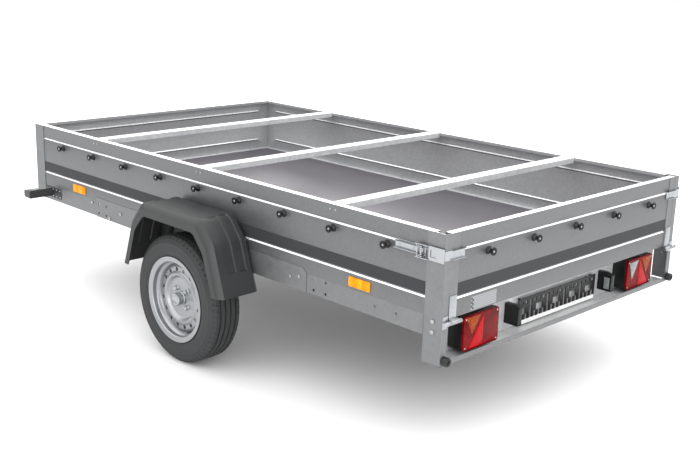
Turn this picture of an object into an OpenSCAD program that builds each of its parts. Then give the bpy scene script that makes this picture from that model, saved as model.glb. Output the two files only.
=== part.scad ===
// Single-axle flat-bed box trailer with a drop tailgate. Millimetres, +X towards the coupling,
// +Y to the left, +Z up, ground at z = 0. Sub-parts are drawn with x = 0 at the rear face of the
// box, and placed() then moves them so that the origin is below the middle of the whole length.

/* [Load box] */
// Length of the box over the corner posts
box_l = 2740; // [2200:10:3300]
// Width of the box over the corner posts
box_w = 1550; // [1250:10:1860]
// Height of the walls above the frame
wall_h = 300; // [250:5:450]
// Height of the frame's top face above the wheel centre
bed_rise = 232.5; // [225:0.5:320]
// Thickness of the wall sheet
sheet_t = 2; // [1.5:0.5:2.5]
// Thickness of the corner posts and the axle plates
post_t = 2.5; // [2:0.5:3]
// Width of the folded rim
rim_w = 27; // [20:1:34]
// Drop of the rim's lip
rim_lip = 15; // [10:1:22]
// Width of a corner post on the side
post_w = 80; // [60:2:100]
// Width of a rear post seen from behind
post_back_w = 30; // [26:1:34]
// How far a rear post reaches below the frame's top face
post_drop = 168; // [150:2:190]

/* [Pressed beads] */
// Depth of a bead into the load space
bead_d = 6; // [4:1:12]
// Height of a bead
bead_h = 11; // [8:1:20]
// Upper bead's middle below the rim
bead_hi = 63; // [45:1:70]
// Lower bead's middle above the frame
bead_lo = 65; // [50:1:80]

/* [Frame] */
// Height of a side rail
rail_h = 74; // [60:2:74]
// Width of a side rail's flanges
rail_w = 45; // [35:1:60]
// Wall thickness of rails and crossmembers
rail_t = 2.5; // [2:0.5:4]
// Depth of the rear lamp beam, from the lip to the web
beam_d = 85; // [75:1:110]
// Thickness of the floor board
floor_t = 9; // [6:1:12]
// Height of a crossmember
cross_h = 62; // [50:1:70]
// Start of the axle plates, from the rear face
plate_x0 = 680; // [600:10:760]
// End of the axle plates, from the rear face
plate_x1 = 2176; // [1900:10:2300]
// Height of the axle plates
plate_h = 94; // [80:1:98]
// Width of a cross bar
bar_w = 58; // [40:1:80]
// Depth of a cross bar
bar_h = 25; // [18:1:35]

/* [Wheels] */
// Outer radius of the tyre
tyre_r = 273.5; // [255:0.5:290]
// Section width of the tyre
tyre_w = 157; // [140:1:170]
// Radius of the rim's flange
rim_r = 183.5; // [175:0.5:190]
// Wheel centre from the rear face
wheel_x = 1306; // [1250:2:1380]
// Gap between the box side and the tyre
wheel_gap = 21; // [16:1:40]
// Pitch circle of the wheel bolts
bolt_pcd = 100; // [98:1:112]
// Radius of the spindle
spindle_r = 15; // [12:0.5:17]

/* [Axle] */
// Swing arm length between its axes
arm_l = 160; // [140:2:180]
// Fall of the swing arm below level, unloaded
arm_angle = 32.5; // [25:0.5:36]
// Side of the square axle tube
axle_s = 70; // [60:2:74]
// Radius of the swing arm's inner bar
bar_r = 17; // [14:0.5:20]

/* [Mudguards] */
// Half length of a mudguard at its lower edge
guard_half = 345; // [330:5:380]
// Height of a mudguard above the wheel centre
guard_top = 389; // [370:2:420]
// Reach of a mudguard beyond the box side
guard_w = 210; // [205:1:240]
// Wall thickness of a mudguard
guard_t = 4; // [3:0.5:5]

/* [Drawbar] */
// Ball centre from the rear face
ball_x = 4050; // [3950:10:4300]
// Width of a drawbar arm
arm_w = 40; // [30:2:50]
// Height of the drawbar tubes
draw_h = 60; // [50:2:64]
// Half distance between the arms' rear ends
draw_half = 560; // [480:10:600]
// Radius of the coupling's ball socket
socket_r = 25.3; // [25:0.1:26]

/* [Tailgate] */
// Thickness of the tailgate
gate_t = 30; // [26:1:34]
// Gap between the tailgate and a post
gate_gap = 1; // [0.5:0.5:2]
// Hinge axis behind the rear face
hinge_out = 15; // [13:1:16]
// Hinge axis below the frame's top face
hinge_drop = 13; // [11:1:15]
// Radius of the hinge pins
hinge_r = 4; // [3:0.5:5]

/* [Fittings] */
// Length of a tarpaulin button
button_l = 28; // [20:1:29]
// Radius of a tarpaulin button's heads
button_r = 15; // [10:0.5:18]
// Buttons on each side
side_buttons = 9; // [5:1:11]
// Buttons on the tailgate
gate_buttons = 5; // [3:1:5]
// Length of a rubber buffer
buffer_l = 25; // [15:1:28]
// Radius of an accessory hole
hole_r = 5.5; // [4:0.5:6]
// Clearance of a running fit, on the radius
run_gap = 0.05; // [0.02:0.01:0.1]
// Gap between pieces that move past each other
move_gap = 0.5; // [0.3:0.1:1]

/* [Hidden] */
$fn = 48;
eps = 1; // overlap of cutting tools past a face

// Heights
wheel_z = tyre_r;
bed_z = wheel_z + bed_rise;
rim_z = bed_z + wall_h;
rail_z = bed_z - rail_h;
floor_z = bed_z + sheet_t;
floor_top = floor_z + floor_t;
beam_drop = 6; // rear beam's foot below the rear posts
beam_z = bed_z - post_drop - beam_drop;
cross_z = floor_z - cross_h;
gate_drop = 5; // tailgate's lower edge below the frame's top face
gate_z = bed_z - gate_drop;
hinge_z = bed_z - hinge_drop;
// Places across
half_w = box_w / 2;
skin_y = half_w - post_t;
inner_y = skin_y - sheet_t;
rail_in = skin_y - rail_w;
gate_half = half_w - post_back_w - gate_gap;
// Places along
skin_x = box_l - post_t;
rail_x1 = skin_x - sheet_t;
bar_xs = [for (share = [0.199, 0.4975, 0.792]) share * box_l];
cross_xs = [620, 1120, 1640, 2180]; // rear faces of the crossmembers under the board
front_cross_x = skin_x - sheet_t - 50;
// Wheel and axle
tyre_y = half_w + wheel_gap + tyre_w / 2;
pivot_x = wheel_x + arm_l * cos(arm_angle);
pivot_z = wheel_z + arm_l * sin(arm_angle);
arm_plate_t = 20;
axle_half = rail_in - 28;
arm_y = axle_half + 2;
disc_off = 26; // disc's inner face outside the tyre's middle plane
disc_y = tyre_y + disc_off;
// Drawbar
draw_top = cross_z;
draw_z = draw_top - draw_h;
nose_x0 = 3520;
nose_x1 = ball_x - 46;
nose_half = 30;
draw_x0 = pivot_x + axle_s / 2 + 90;
// Whole length
x_back = -max(buffer_l, button_l - sheet_t);
x_front = ball_x + 36;
x_mid = (x_back + x_front) / 2;

// ---------- helpers ----------

module placed() { translate([-x_mid, 0, 0]) children(); }

module both_sides() {
    children();
    mirror([0, 1, 0]) children();
}

// Extrudes an outline drawn in (y, z) along +X, from x0 to x1.
module along_x(x0, x1) {
    translate([x0, 0, 0]) rotate([90, 0, 90]) linear_extrude(x1 - x0) children();
}

// Extrudes an outline drawn in (x, z) along Y, from y0 to y1.
module along_y(y0, y1) {
    translate([0, y1, 0]) rotate([90, 0, 0]) linear_extrude(y1 - y0) children();
}

// A cylinder along +Y from y0.
module rod_y(x, y0, z, r, l) { translate([x, y0, z]) rotate([-90, 0, 0]) cylinder(r = r, h = l); }

// A cylinder along +X from x0.
module rod_x(x0, y, z, r, l) { translate([x0, y, z]) rotate([0, 90, 0]) cylinder(r = r, h = l); }

// A block from its lowest to its highest corner.
module block(lo, hi) { translate(lo) cube(hi - lo); }

// One bead's outline points on a wall sheet: distance inwards, height. The lower slope is the
// wide one, at 45 degrees. The points run upwards, or downwards if up is -1.
function bead(zc, depth, up) =
    let (points = [[0, zc - bead_h / 2], [depth, zc - bead_h / 2 + min(depth, 0.6 * bead_h)],
        [depth, zc + bead_h / 5], [0, zc + bead_h / 2]])
    up > 0 ? points : [for (i = [3:-1:0]) points[i]];

bead_zs = [bed_z + bead_lo, rim_z - bead_hi];

// Outline of a wall sheet with its folded rim and lip, in (inwards, height).
module wall_outline(z0, z1, beads, rim, lip, foot) {
    outer = [for (z = beads) each bead(z, bead_d, 1)];
    inner = [for (i = [len(beads) - 1:-1:0]) each bead(beads[i], bead_d, -1)];
    polygon(concat(
        [[0, z0]], outer, [[0, z1], [rim, z1], [rim, z1 - lip], [rim - sheet_t, z1 - lip],
        [rim - sheet_t, z1 - sheet_t], [sheet_t, z1 - sheet_t]],
        [for (p = inner) [p[0] + sheet_t, p[1]]],
        foot > 0 ? [[sheet_t, z0 + sheet_t], [foot, z0 + sheet_t], [foot, z0]]
                 : [[sheet_t, z0]]));
}

// C-shaped outline with lips, open towards +first axis: depth w, height h, wall t, lip l.
module c_outline(w, h, t, l) {
    difference() {
        square([w, h]);
        translate([t, t]) square([w - 2 * t, h - 2 * t]);
        translate([w - t - eps, l]) square([t + 2 * eps, h - 2 * l]);
    }
}

// ---------- load box ----------

foot_w = 30;
side_rim_x0 = 52;
gate_clear_x = gate_t + 5;

module side_wall() {
    // Beaded middle between the posts, then the plain ends behind them.
    translate([0, skin_y, 0]) mirror([0, 1, 0]) {
        along_x(post_w, box_l - post_w) wall_outline(bed_z, rim_z, bead_zs, rim_w, rim_lip, foot_w);
        along_x(side_rim_x0, post_w) wall_outline(bed_z, rim_z, [], rim_w, rim_lip, foot_w);
        along_x(box_l - post_w, rail_x1) wall_outline(bed_z, rim_z, [], rim_w, rim_lip, foot_w);
        block([rail_x1, 0, bed_z], [skin_x, sheet_t, rim_z]);
        along_x(gate_clear_x, side_rim_x0) wall_outline(bed_z, rim_z, [], sheet_t * 2, sheet_t, foot_w);
        along_x(post_t, gate_clear_x) square([sheet_t, rim_z]);
    }
}

// The wall's plain rear end, cut off at the frame.
module side_wall_trimmed() {
    difference() {
        side_wall();
        block([0, inner_y - eps, -eps], [gate_clear_x, skin_y + eps, bed_z]);
    }
}

module side_panel_left() { color("silver") placed() side_wall_trimmed(); }

module side_panel_right() { color("silver") placed() mirror([0, 1, 0]) side_wall_trimmed(); }

module front_panel() {
    color("silver") placed() translate([skin_x, 0, 0]) mirror([1, 0, 0]) {
        rim_half = skin_y - rim_w;
        bead_half = inner_y - post_w;
        difference() {
            along_y(-rim_half, rim_half) wall_outline(bed_z, rim_z, [], rim_w, rim_lip, 0);
            for (z = bead_zs)
                block([-eps, -bead_half, z - bead_h / 2], [sheet_t + eps, bead_half, z + bead_h / 2]);
        }
        for (z = bead_zs)
            along_y(-bead_half, bead_half) polygon(concat(
                bead(z, bead_d, 1), [for (p = bead(z, bead_d, -1)) [p[0] + sheet_t, p[1]]]));
        both_sides() block([0, rim_half, bed_z], [sheet_t, inner_y, rim_z]);
    }
}

module rear_post() {
    z0 = bed_z - post_drop;
    along_x(0, post_w) polygon([[skin_y, z0], [half_w, z0], [half_w, rim_z], [skin_y, rim_z]]);
    block([0, half_w - post_back_w, z0], [post_t, skin_y, rim_z]);
}

module front_post() {
    block([box_l - post_w, skin_y, rail_z], [box_l, half_w, rim_z]);
    block([skin_x, half_w - post_w, rail_z], [box_l, skin_y, rim_z]);
}

module corner_posts() {
    color("gainsboro") placed() both_sides() {
        difference() {
            rear_post();
            post_bolt_holes();
        }
        front_post();
    }
}

post_bolt_zs = [-15, -53];
module post_bolt_holes() {
    for (dz = post_bolt_zs) rod_y(post_w / 2, skin_y - eps, bed_z + dz, 4.5, post_t + 2 * eps);
}

// ---------- frame ----------

pattern_z = bed_z - 34;
pattern_dx = 66;
pattern_dz = 45;
rear_pattern_x = 607;
front_pattern_x = 2124;
line_x = 263.5;
line_dx = 105;

// The accessory holes in a side rail: two rectangles of four and one pair.
module accessory_holes() {
    for (x = [rear_pattern_x, front_pattern_x], i = [-1, 1], j = [-1, 1])
        rod_y(x + i * pattern_dx / 2, skin_y - rail_t - eps, pattern_z + j * pattern_dz / 2,
            hole_r, rail_t + post_t + 2 * eps);
    for (i = [-1, 1])
        rod_y(line_x + i * line_dx / 2, skin_y - rail_t - eps, pattern_z, hole_r,
            rail_t + 2 * eps);
}

module side_rail() {
    difference() {
        translate([0, skin_y, rail_z]) mirror([0, 1, 0]) along_x(beam_d, rail_x1)
            c_outline(rail_w, rail_h, rail_t, 12);
        accessory_holes();
    }
}

module side_rail_left() { color("darkgray") placed() side_rail(); }

module side_rail_right() { color("darkgray") placed() mirror([0, 1, 0]) side_rail(); }

module axle_plate() {
    z0 = rail_z - 1;
    z1 = z0 + plate_h;
    difference() {
        along_y(skin_y, half_w) polygon([[plate_x0, z0], [plate_x1, z0], [plate_x1, z1],
            [plate_x0 + 22, z1], [plate_x0, z1 - 18]]);
        accessory_holes();
    }
}

module axle_plates() { color("darkgray") placed() both_sides() axle_plate(); }

module crossmembers() {
    color("darkgray") placed() {
        for (x = cross_xs)
            translate([x, 0, cross_z]) along_y(-rail_in, rail_in) c_outline(40, cross_h, rail_t, 12);
        translate([front_cross_x, 0, cross_z]) along_y(-rail_in, rail_in)
            c_outline(50, cross_h, rail_t, 12);
    }
}

module rear_beam() {
    color("gainsboro") placed() {
        along_y(-skin_y, skin_y) polygon([
            [post_t, beam_z], [beam_d, beam_z], [beam_d, bed_z], [gate_t + 4, bed_z],
            [gate_t + 4, bed_z - rail_t], [beam_d - rail_t, bed_z - rail_t],
            [beam_d - rail_t, beam_z + rail_t], [post_t, beam_z + rail_t]]);
        lip_half = half_w - post_back_w - 0.5;
        block([0, -lip_half, beam_z], [post_t, lip_half, beam_z + 20]);
    }
}

strip_w = 28;
strip_rise = 2; // how far the edge bars stand above the board
board_gap = 0.5;
board_half = inner_y - strip_w - board_gap;
board_x1 = rail_x1 - strip_w - board_gap;

module floor_panel() {
    color("dimgray") placed()
        block([gate_clear_x, -board_half, floor_z], [board_x1, board_half, floor_top]);
}

// Bars along the board's sides and front, seated on the walls' feet.
module floor_strips() {
    z1 = floor_top + strip_rise;
    color("lightgray") placed() {
        both_sides() block([gate_clear_x, inner_y - strip_w, floor_z], [rail_x1, inner_y - 1, z1]);
        block([rail_x1 - strip_w, -board_half, floor_z], [rail_x1, board_half, z1]);
    }
}

module cross_bars() {
    bar_half = skin_y - rim_w;
    color("gainsboro") placed() for (x = bar_xs) difference() {
        block([x - bar_w / 2, -bar_half, rim_z - bar_h], [x + bar_w / 2, bar_half, rim_z]);
        block([x - bar_w / 2 + sheet_t, -bar_half - eps, rim_z - bar_h - eps],
            [x + bar_w / 2 - sheet_t, bar_half + eps, rim_z - sheet_t]);
    }
}

// ---------- mudguards ----------

guard_dx = -12;
guard_mount_y = half_w + 0.2;
guard_bolts = [[-200, 345], [0, 355], [200, 345]];

// Half outline of the guard in from its outer face by s: low end, shoulder, top corner.
function guard_half_points(s) = [
    [guard_half - s, 95], [guard_half - 70 - s, guard_top - 84 - s / 3],
    [guard_half - 145 - s / 2, guard_top - s]];

module guard_outline(s) {
    half = guard_half_points(s);
    translate([wheel_x + guard_dx, wheel_z]) polygon(concat(
        half, [for (i = [2:-1:0]) [-half[i][0], half[i][1]]]));
}

module guard_opening() {
    translate([wheel_x + guard_dx, wheel_z]) polygon([
        [guard_half - 45, 94], [guard_half - 112, guard_top - 102],
        [guard_half - 170, guard_top - 51], [-guard_half + 162, guard_top - 49],
        [-guard_half + 107, guard_top - 99], [-guard_half + 20, 94]]);
}

// The mudguard bolts' places at y, with +Z turned away from the box.
module at_guard_bolts(y) {
    for (p = guard_bolts) translate([wheel_x + guard_dx + p[0], y, wheel_z + p[1]])
        rotate([-90, 0, 0]) children();
}

module mudguard() {
    y0 = guard_mount_y;
    y1 = half_w + guard_w;
    difference() {
        along_y(y0, y1) guard_outline(0);
        along_y(y0 + guard_t, y1 - guard_t) intersection() {
            guard_outline(guard_t);
            translate([wheel_x - 500, wheel_z + 90]) square([1000, 500]);
        }
        along_y(y0 - eps, y1 + eps) guard_opening();
        block([wheel_x - 500, y0 + guard_t, wheel_z + 80],
            [wheel_x + 500, y1 - guard_t, wheel_z + 95.5]);
        at_guard_bolts(y0 - eps) cylinder(r = 4.5, h = guard_t + 2 * eps);
    }
}

module mudguard_left() { color([0.1, 0.1, 0.1]) placed() mudguard(); }

module mudguard_right() { color([0.1, 0.1, 0.1]) placed() mirror([0, 1, 0]) mudguard(); }

// ---------- axle ----------

rubber_r = bar_r + 10;
rubber_l = 220;

module axle_tube() {
    color("gray") placed() difference() {
        block([pivot_x - axle_s / 2, -axle_half, pivot_z - axle_s / 2],
            [pivot_x + axle_s / 2, axle_half, pivot_z + axle_s / 2]);
        rod_y(pivot_x, -axle_half - eps, pivot_z, rubber_r, 2 * axle_half + 2 * eps);
    }
}

module torsion_rubbers() {
    color([0.12, 0.12, 0.12]) placed() both_sides() difference() {
        rod_y(pivot_x, axle_half - rubber_l, pivot_z, rubber_r, rubber_l);
        rod_y(pivot_x, axle_half - rubber_l - eps, pivot_z, bar_r + run_gap, rubber_l + 2 * eps);
    }
}

module axle_brackets() {
    z0 = pivot_z + axle_s / 2;
    y1 = axle_half - 6;
    color("gray") placed() both_sides() along_x(pivot_x - 65, pivot_x + 65) polygon([
        [y1 - 90, z0], [y1, z0], [y1, rail_z - 6], [skin_y, rail_z - 6], [skin_y, rail_z],
        [y1 - 6, rail_z], [y1 - 6, z0 + 6], [y1 - 90, z0 + 6]]);
}

module swing_arm() {
    rod_y(pivot_x, axle_half - rubber_l + 10, pivot_z, bar_r, rubber_l - 10 + 4);
    along_y(arm_y, arm_y + arm_plate_t) {
        translate([pivot_x, pivot_z]) circle(34);
        translate([wheel_x, wheel_z]) circle(30);
        translate([wheel_x, wheel_z]) rotate(arm_angle) translate([0, -28]) square([arm_l, 56]);
    }
    rod_y(wheel_x, arm_y + arm_plate_t - eps, wheel_z, spindle_r, disc_y + 26 - arm_y - arm_plate_t);
    rod_y(wheel_x, arm_y + arm_plate_t - eps, wheel_z, spindle_r + 8, 30);
}

module swing_arm_left() { color("gray") placed() swing_arm(); }

module swing_arm_right() { color("gray") placed() mirror([0, 1, 0]) swing_arm(); }

// ---------- wheels ----------

module turned_y(y0) {
    translate([wheel_x, y0, wheel_z]) rotate([-90, 0, 0]) rotate_extrude($fn = 96) children();
}

// Places on the wheel's axis run from the tyre's middle plane, + away from the trailer.
rim_flange = 70.5;
rim_t = 4;
seat_r = rim_r - 19;
well_r = rim_r - 36;
groove_d = 7;
groove_ys = [-38, -13, 13, 38];
tread_half = 56;
valve_at = 152;
vent_count = 16;
vent_at = 125;

// The snap-in valve's place: angle from straight down, towards the rear.
module at_valve() {
    translate([wheel_x, tyre_y, wheel_z]) rotate([0, -35, 0]) translate([0, 0, -valve_at])
        children();
}

module tyre() {
    bead_r = seat_r + 0.1;
    w = tyre_w / 2;
    difference() {
        turned_y(tyre_y) polygon([
            [bead_r, -rim_flange + 9], [rim_r + 2, -rim_flange + 2], [rim_r + 22, -w + 3],
            [(rim_r + tyre_r) / 2 - 2, -w], [tyre_r - 26, -w + 4], [tyre_r - 8, -tread_half - 8],
            [tyre_r - 1, -tread_half], [tyre_r, -30], [tyre_r, 30], [tyre_r - 1, tread_half],
            [tyre_r - 8, tread_half + 8], [tyre_r - 26, w - 4], [(rim_r + tyre_r) / 2 - 2, w],
            [rim_r + 22, w - 3], [rim_r + 2, rim_flange - 2], [bead_r, rim_flange - 9],
            [bead_r, 46], [rim_r + 8, 58], [tyre_r - 24, 60], [tyre_r - 14, 50],
            [tyre_r - 14, -50], [tyre_r - 24, -60], [rim_r + 8, -58], [bead_r, -46]]);
        for (g = groove_ys) turned_y(tyre_y) translate([tyre_r - groove_d, g - 3.5])
            square([groove_d + eps, 7]);
    }
    at_valve() rod_y(0, 27, 0, 4, 45);
}

// The barrel's outline on the tyre's side; the bare side lies rim_t inside it.
barrel_half = [[rim_r, rim_flange + 3], [rim_r, rim_flange], [rim_r - 4, rim_flange],
    [seat_r, rim_flange - 4], [seat_r, 45]];

module rim() {
    f = disc_off;
    difference() {
        turned_y(tyre_y) union() {
            polygon(concat(
                barrel_half, [[well_r, 22], [well_r, -36]],
                [for (i = [4:-1:0]) [barrel_half[i][0], -barrel_half[i][1]]],
                [[rim_r - 6, -rim_flange - 3], [seat_r - rim_t, -rim_flange + 1],
                [seat_r - rim_t, -47], [well_r - rim_t, -38], [well_r - rim_t, 24],
                [seat_r - rim_t, 47], [seat_r - rim_t, rim_flange - 1],
                [rim_r - 6, rim_flange + 3]]));
            polygon([[well_r - rim_t, f - 6], [132, f + 8], [115, f + 8], [105, f + 16],
                [101, f + 16], [91, f], [30, f], [30, f + rim_t], [88, f + rim_t],
                [98, f + 20], [108, f + 20], [118, f + 12], [134, f + 12],
                [well_r - rim_t, f + 2], [well_r - 2, f - 1], [well_r - 2, f - 6]]);
        }
        for (i = [0:vent_count - 1]) translate([wheel_x, tyre_y, wheel_z])
            rotate([0, (i + 0.5) * 360 / vent_count, 0]) rod_y(vent_at, 0, 0, 8, rim_flange);
        at_bolts() rod_y(0, -20, 0, 6.5, 30);
        at_valve() rod_y(0, 23, 0, 4.3, 30);
    }
}

// The four wheel bolts' places, on the disc's inner face.
module at_bolts() {
    for (i = [0:3]) translate([wheel_x, disc_y, wheel_z]) rotate([0, 45 + i * 90, 0])
        translate([bolt_pcd / 2, 0, 0]) children();
}

module hub() {
    difference() {
        union() {
            rod_y(wheel_x, disc_y - 12, wheel_z, 66, 12);
            rod_y(wheel_x, disc_y - 62, wheel_z, 38, 62);
            rod_y(wheel_x, disc_y, wheel_z, 29.5, 14);
        }
        rod_y(wheel_x, disc_y - 62 - eps, wheel_z, spindle_r + run_gap, 76 + 2 * eps);
        at_bolts() rod_y(0, -20, 0, 6, 30);
    }
    // Grease cap pressed on the nose
    turned_y(disc_y + 14) polygon([[0, 23], [0, 26], [16, 26], [23, 22], [26, 14], [26, 0],
        [23, 0], [23, 13], [20, 20], [15, 23]]);
}

module wheel_bolts() {
    at_bolts() {
        rod_y(0, -12, 0, 5.9, 12 + rim_t);
        translate([0, rim_t, 0]) rotate([-90, 0, 0]) cylinder(r = 10, h = 12, $fn = 6);
    }
}

module hub_left() { color("silver") placed() hub(); }

module hub_right() { color("silver") placed() mirror([0, 1, 0]) hub(); }

module rim_left() { color("whitesmoke") placed() rim(); }

module rim_right() { color("whitesmoke") placed() mirror([0, 1, 0]) rim(); }

module wheel_bolts_left() { color("silver") placed() wheel_bolts(); }

module wheel_bolts_right() { color("silver") placed() mirror([0, 1, 0]) wheel_bolts(); }

module tyre_left() { color([0.13, 0.13, 0.13]) placed() tyre(); }

module tyre_right() { color([0.13, 0.13, 0.13]) placed() mirror([0, 1, 0]) tyre(); }

// ---------- drawbar and coupling ----------

nose_y = nose_half + arm_w / 2 - 6;
arm_dx = nose_x1 - 180 - draw_x0;
arm_turn = atan2(draw_half - nose_y, arm_dx);
arm_run = arm_dx / cos(arm_turn);
tube_t = 3;

module drawbar_arm() {
    difference() {
        translate([draw_x0, draw_half, draw_z]) rotate([0, 0, -arm_turn]) difference() {
            translate([0, -arm_w / 2, 0]) cube([arm_run, arm_w, draw_h]);
            translate([-eps, -arm_w / 2 + tube_t, tube_t])
                cube([arm_run + 2 * eps, arm_w - 2 * tube_t, draw_h - 2 * tube_t]);
        }
        block([nose_x0 - 400, -nose_half, draw_z - eps], [nose_x1 + 100, nose_half, draw_top + eps]);
    }
}

module drawbar_arm_left() { color("gray") placed() drawbar_arm(); }

module drawbar_arm_right() { color("gray") placed() mirror([0, 1, 0]) drawbar_arm(); }

module drawbar_nose() {
    color("gray") placed() difference() {
        block([nose_x0, -nose_half, draw_z], [nose_x1, nose_half, draw_top]);
        block([nose_x0 - eps, -nose_half + tube_t, draw_z + tube_t],
            [nose_x1 + eps, nose_half - tube_t, draw_top - tube_t]);
        for (x = coupling_bolt_xs) rod_y(x, -nose_half - eps, draw_mid, 6.2, 2 * nose_half + 2 * eps);
    }
}

draw_mid = draw_z + draw_h / 2;
coupling_bolt_xs = [nose_x1 - 100, nose_x1 - 45];
saddle_t = 4;
house_r = 36;
house_z0 = draw_z - 6;
house_z1 = draw_top + saddle_t;
socket_l = 30;
dome_r = socket_r + 2.7; // clears the ball all round
dome_rise = sqrt(dome_r * dome_r - socket_r * socket_r); // the dome starts where the bore ends
clamp_low = 8; // clamp's foot above the coupling's lower face
clamp_high = socket_l - 2;
ear_z = house_z1 + 16;
ear_x = ball_x - 30;
ear_y = 14;

module coupling_body() {
    color("slategray") placed() {
        difference() {
            union() {
                translate([ball_x, 0, house_z0]) cylinder(r = house_r, h = house_z1 - house_z0);
                block([nose_x1, -nose_half - saddle_t, draw_z], [ball_x, nose_half + saddle_t, house_z1]);
            }
            translate([ball_x, 0, house_z0 - eps]) cylinder(r = socket_r, h = socket_l + eps);
            translate([ball_x, 0, house_z0 + socket_l + dome_rise]) sphere(r = dome_r);
            clamp_pocket(0);
        }
        difference() {
            block([nose_x1 - 140, -nose_half - saddle_t, draw_z], [nose_x1, nose_half + saddle_t, house_z1]);
            block([nose_x1 - 140 - eps, -nose_half, draw_z - eps], [nose_x1, nose_half, draw_top]);
            for (x = coupling_bolt_xs)
                rod_y(x, -nose_half - saddle_t - eps, draw_mid, 6.2, 2 * (nose_half + saddle_t + eps));
        }
        // Two ears that carry the handle's pin
        both_sides() block([ear_x - 10, ear_y, house_z1], [ear_x + 10, ear_y + 4, ear_z + 8]);
        rod_y(ear_x, -ear_y - 4, ear_z, 4, 2 * ear_y + 8);
    }
}

// Pocket behind the ball that holds the clamp, grown by s.
module clamp_pocket(s) {
    block([ball_x - socket_r - 14, -9 - s, house_z0 + clamp_low],
        [ball_x - socket_r + 6, 9 + s, house_z0 + clamp_high]);
}

module coupling_clamp() {
    color("dimgray") placed() difference() {
        clamp_pocket(-0.3);
        translate([ball_x, 0, house_z0 - eps]) cylinder(r = socket_r + 0.2, h = 60);
    }
}

handle_l = 150;

module coupling_handle() {
    color("red") placed() difference() {
        union() {
            rod_y(ear_x, -ear_y + move_gap, ear_z, 8, 2 * (ear_y - move_gap));
            along_y(-ear_y + move_gap, ear_y - move_gap) polygon([
                [ear_x - 6, ear_z - 2], [ear_x + 4, ear_z + 6], [ear_x - 40, ear_z + 30],
                [ear_x - handle_l, ear_z + 38], [ear_x - handle_l, ear_z + 26],
                [ear_x - 44, ear_z + 16]]);
        }
        rod_y(ear_x, -ear_y, ear_z, 4 + run_gap, 2 * ear_y);
    }
}

module drawbar_bolts() {
    color("silver") placed() {
        for (x = coupling_bolt_xs) {
            rod_y(x, -nose_half - saddle_t - 8, draw_mid, 6, 2 * (nose_half + saddle_t + 8));
            both_sides() translate([x, nose_half + saddle_t, draw_mid]) rotate([-90, 0, 0])
                cylinder(r = 11, h = 8, $fn = 6);
        }
        // Clamp bolts that hold the arms up to two crossmembers
        both_sides() for (x = clamp_xs) translate([x, arm_y_at(x), 0]) {
            translate([0, 0, draw_z - 8]) cylinder(r = 11, h = 8, $fn = 6);
        }
    }
}

clamp_xs = [cross_xs[3] + 20, front_cross_x + 25];
function arm_y_at(x) = draw_half - (x - draw_x0) * tan(arm_turn);

// ---------- rear lamps and plate ----------

plate_half = 262;
plate_shift = -20; // the plate and its lamps stand off centre
plate_lamp_y0 = plate_half + 44;
plate_lamp_y1 = plate_lamp_y0 + 26;
// The lamp stands midway between the plate lamp and the post.
lamp_y = (plate_lamp_y1 + half_w - post_back_w) / 2;

lamp_w = 198;
lamp_h = 130;
lamp_z = bed_z - 90;
lamp_x0 = 22;
lens_t = 13;
web_x = beam_d - rail_t;

module lamp_housings() {
    color([0.08, 0.08, 0.08]) placed() both_sides()
        block([lamp_x0, lamp_y - lamp_w / 2, lamp_z - lamp_h / 2],
            [web_x, lamp_y + lamp_w / 2, lamp_z + lamp_h / 2]);
}

// A field of a lens, in (y, z) from the lamp's middle, y outwards.
module lens_field(points, side) {
    translate([0, side * lamp_y, lamp_z]) along_x(lamp_x0 - lens_t, lamp_x0)
        polygon([for (p = points) [side * p[0] * lamp_w / 2, p[1] * lamp_h / 2]]);
}

lens_edge = 0.92;
amber_field = [[-0.1, 0.9], [lens_edge, 0.9], [lens_edge, -0.1]];
clear_field = [[-lens_edge, 0.9], [-0.16, 0.9], [-lens_edge, 0.1]];
red_field = [[-lens_edge, 0.0], [-0.12, 0.86], [lens_edge - 0.02, -0.18],
    [lens_edge, -0.9], [-lens_edge, -0.9]];
red_corner = [[-lens_edge, 0.9], [-0.2, 0.9], [-lens_edge, 0.1]];

module red_lenses() {
    color("red") placed() {
        for (side = [-1, 1]) lens_field(red_field, side);
        lens_field(red_corner, 1);
    }
}

module amber_lenses() { color("orange") placed() for (side = [-1, 1]) lens_field(amber_field, side); }

module clear_lenses() {
    color("white") placed() {
        lens_field(clear_field, -1);
        both_sides() block([marker_x1, marker_y0, marker_z - 16], [marker_x1 + 8, marker_y1, marker_z + 16]);
    }
}

plate_z0 = bed_z - 165;
plate_z1 = bed_z - 60;
plate_x = 66;

module plate_holder() {
    color([0.08, 0.08, 0.08]) placed() translate([0, plate_shift, 0]) {
        difference() {
            block([plate_x, -plate_half, plate_z0], [plate_x + 5, plate_half, plate_z1]);
            for (i = [-5:5], j = [0, 1])
                block([plate_x - eps, i * 44 - 14, plate_z0 + 26 + j * 38],
                    [plate_x + 5 + eps, i * 44 + 14, plate_z0 + 50 + j * 38]);
        }
        for (y = [-1, 1], z = [plate_z0 + 10, plate_z1 - 6])
            rod_x(plate_x + 5, y * (plate_half - 20), z, 5, web_x - plate_x - 5);
    }
}

plate_lamp_x0 = 18;
plate_lamp_z0 = plate_z0 + 26;
plate_lamp_z1 = plate_z1;

// A slim lamp beside the plate, with its upper rear corner cut off.
module plate_lamps() {
    color([0.08, 0.08, 0.08]) placed() translate([0, plate_shift, 0]) both_sides()
        along_y(plate_lamp_y0, plate_lamp_y1) polygon([
            [plate_lamp_x0, plate_lamp_z0], [web_x, plate_lamp_z0], [web_x, plate_lamp_z1],
            [plate_lamp_x0 + 28, plate_lamp_z1], [plate_lamp_x0, plate_lamp_z1 - 10]]);
}

// ---------- small fittings on the chassis ----------

reflector_xs = [395, box_l - 411];
marker_z = rail_z + 42;
marker_x0 = box_l - 140;
marker_x1 = box_l - 88;
marker_y0 = half_w + 55;
marker_y1 = half_w + 122;

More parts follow.
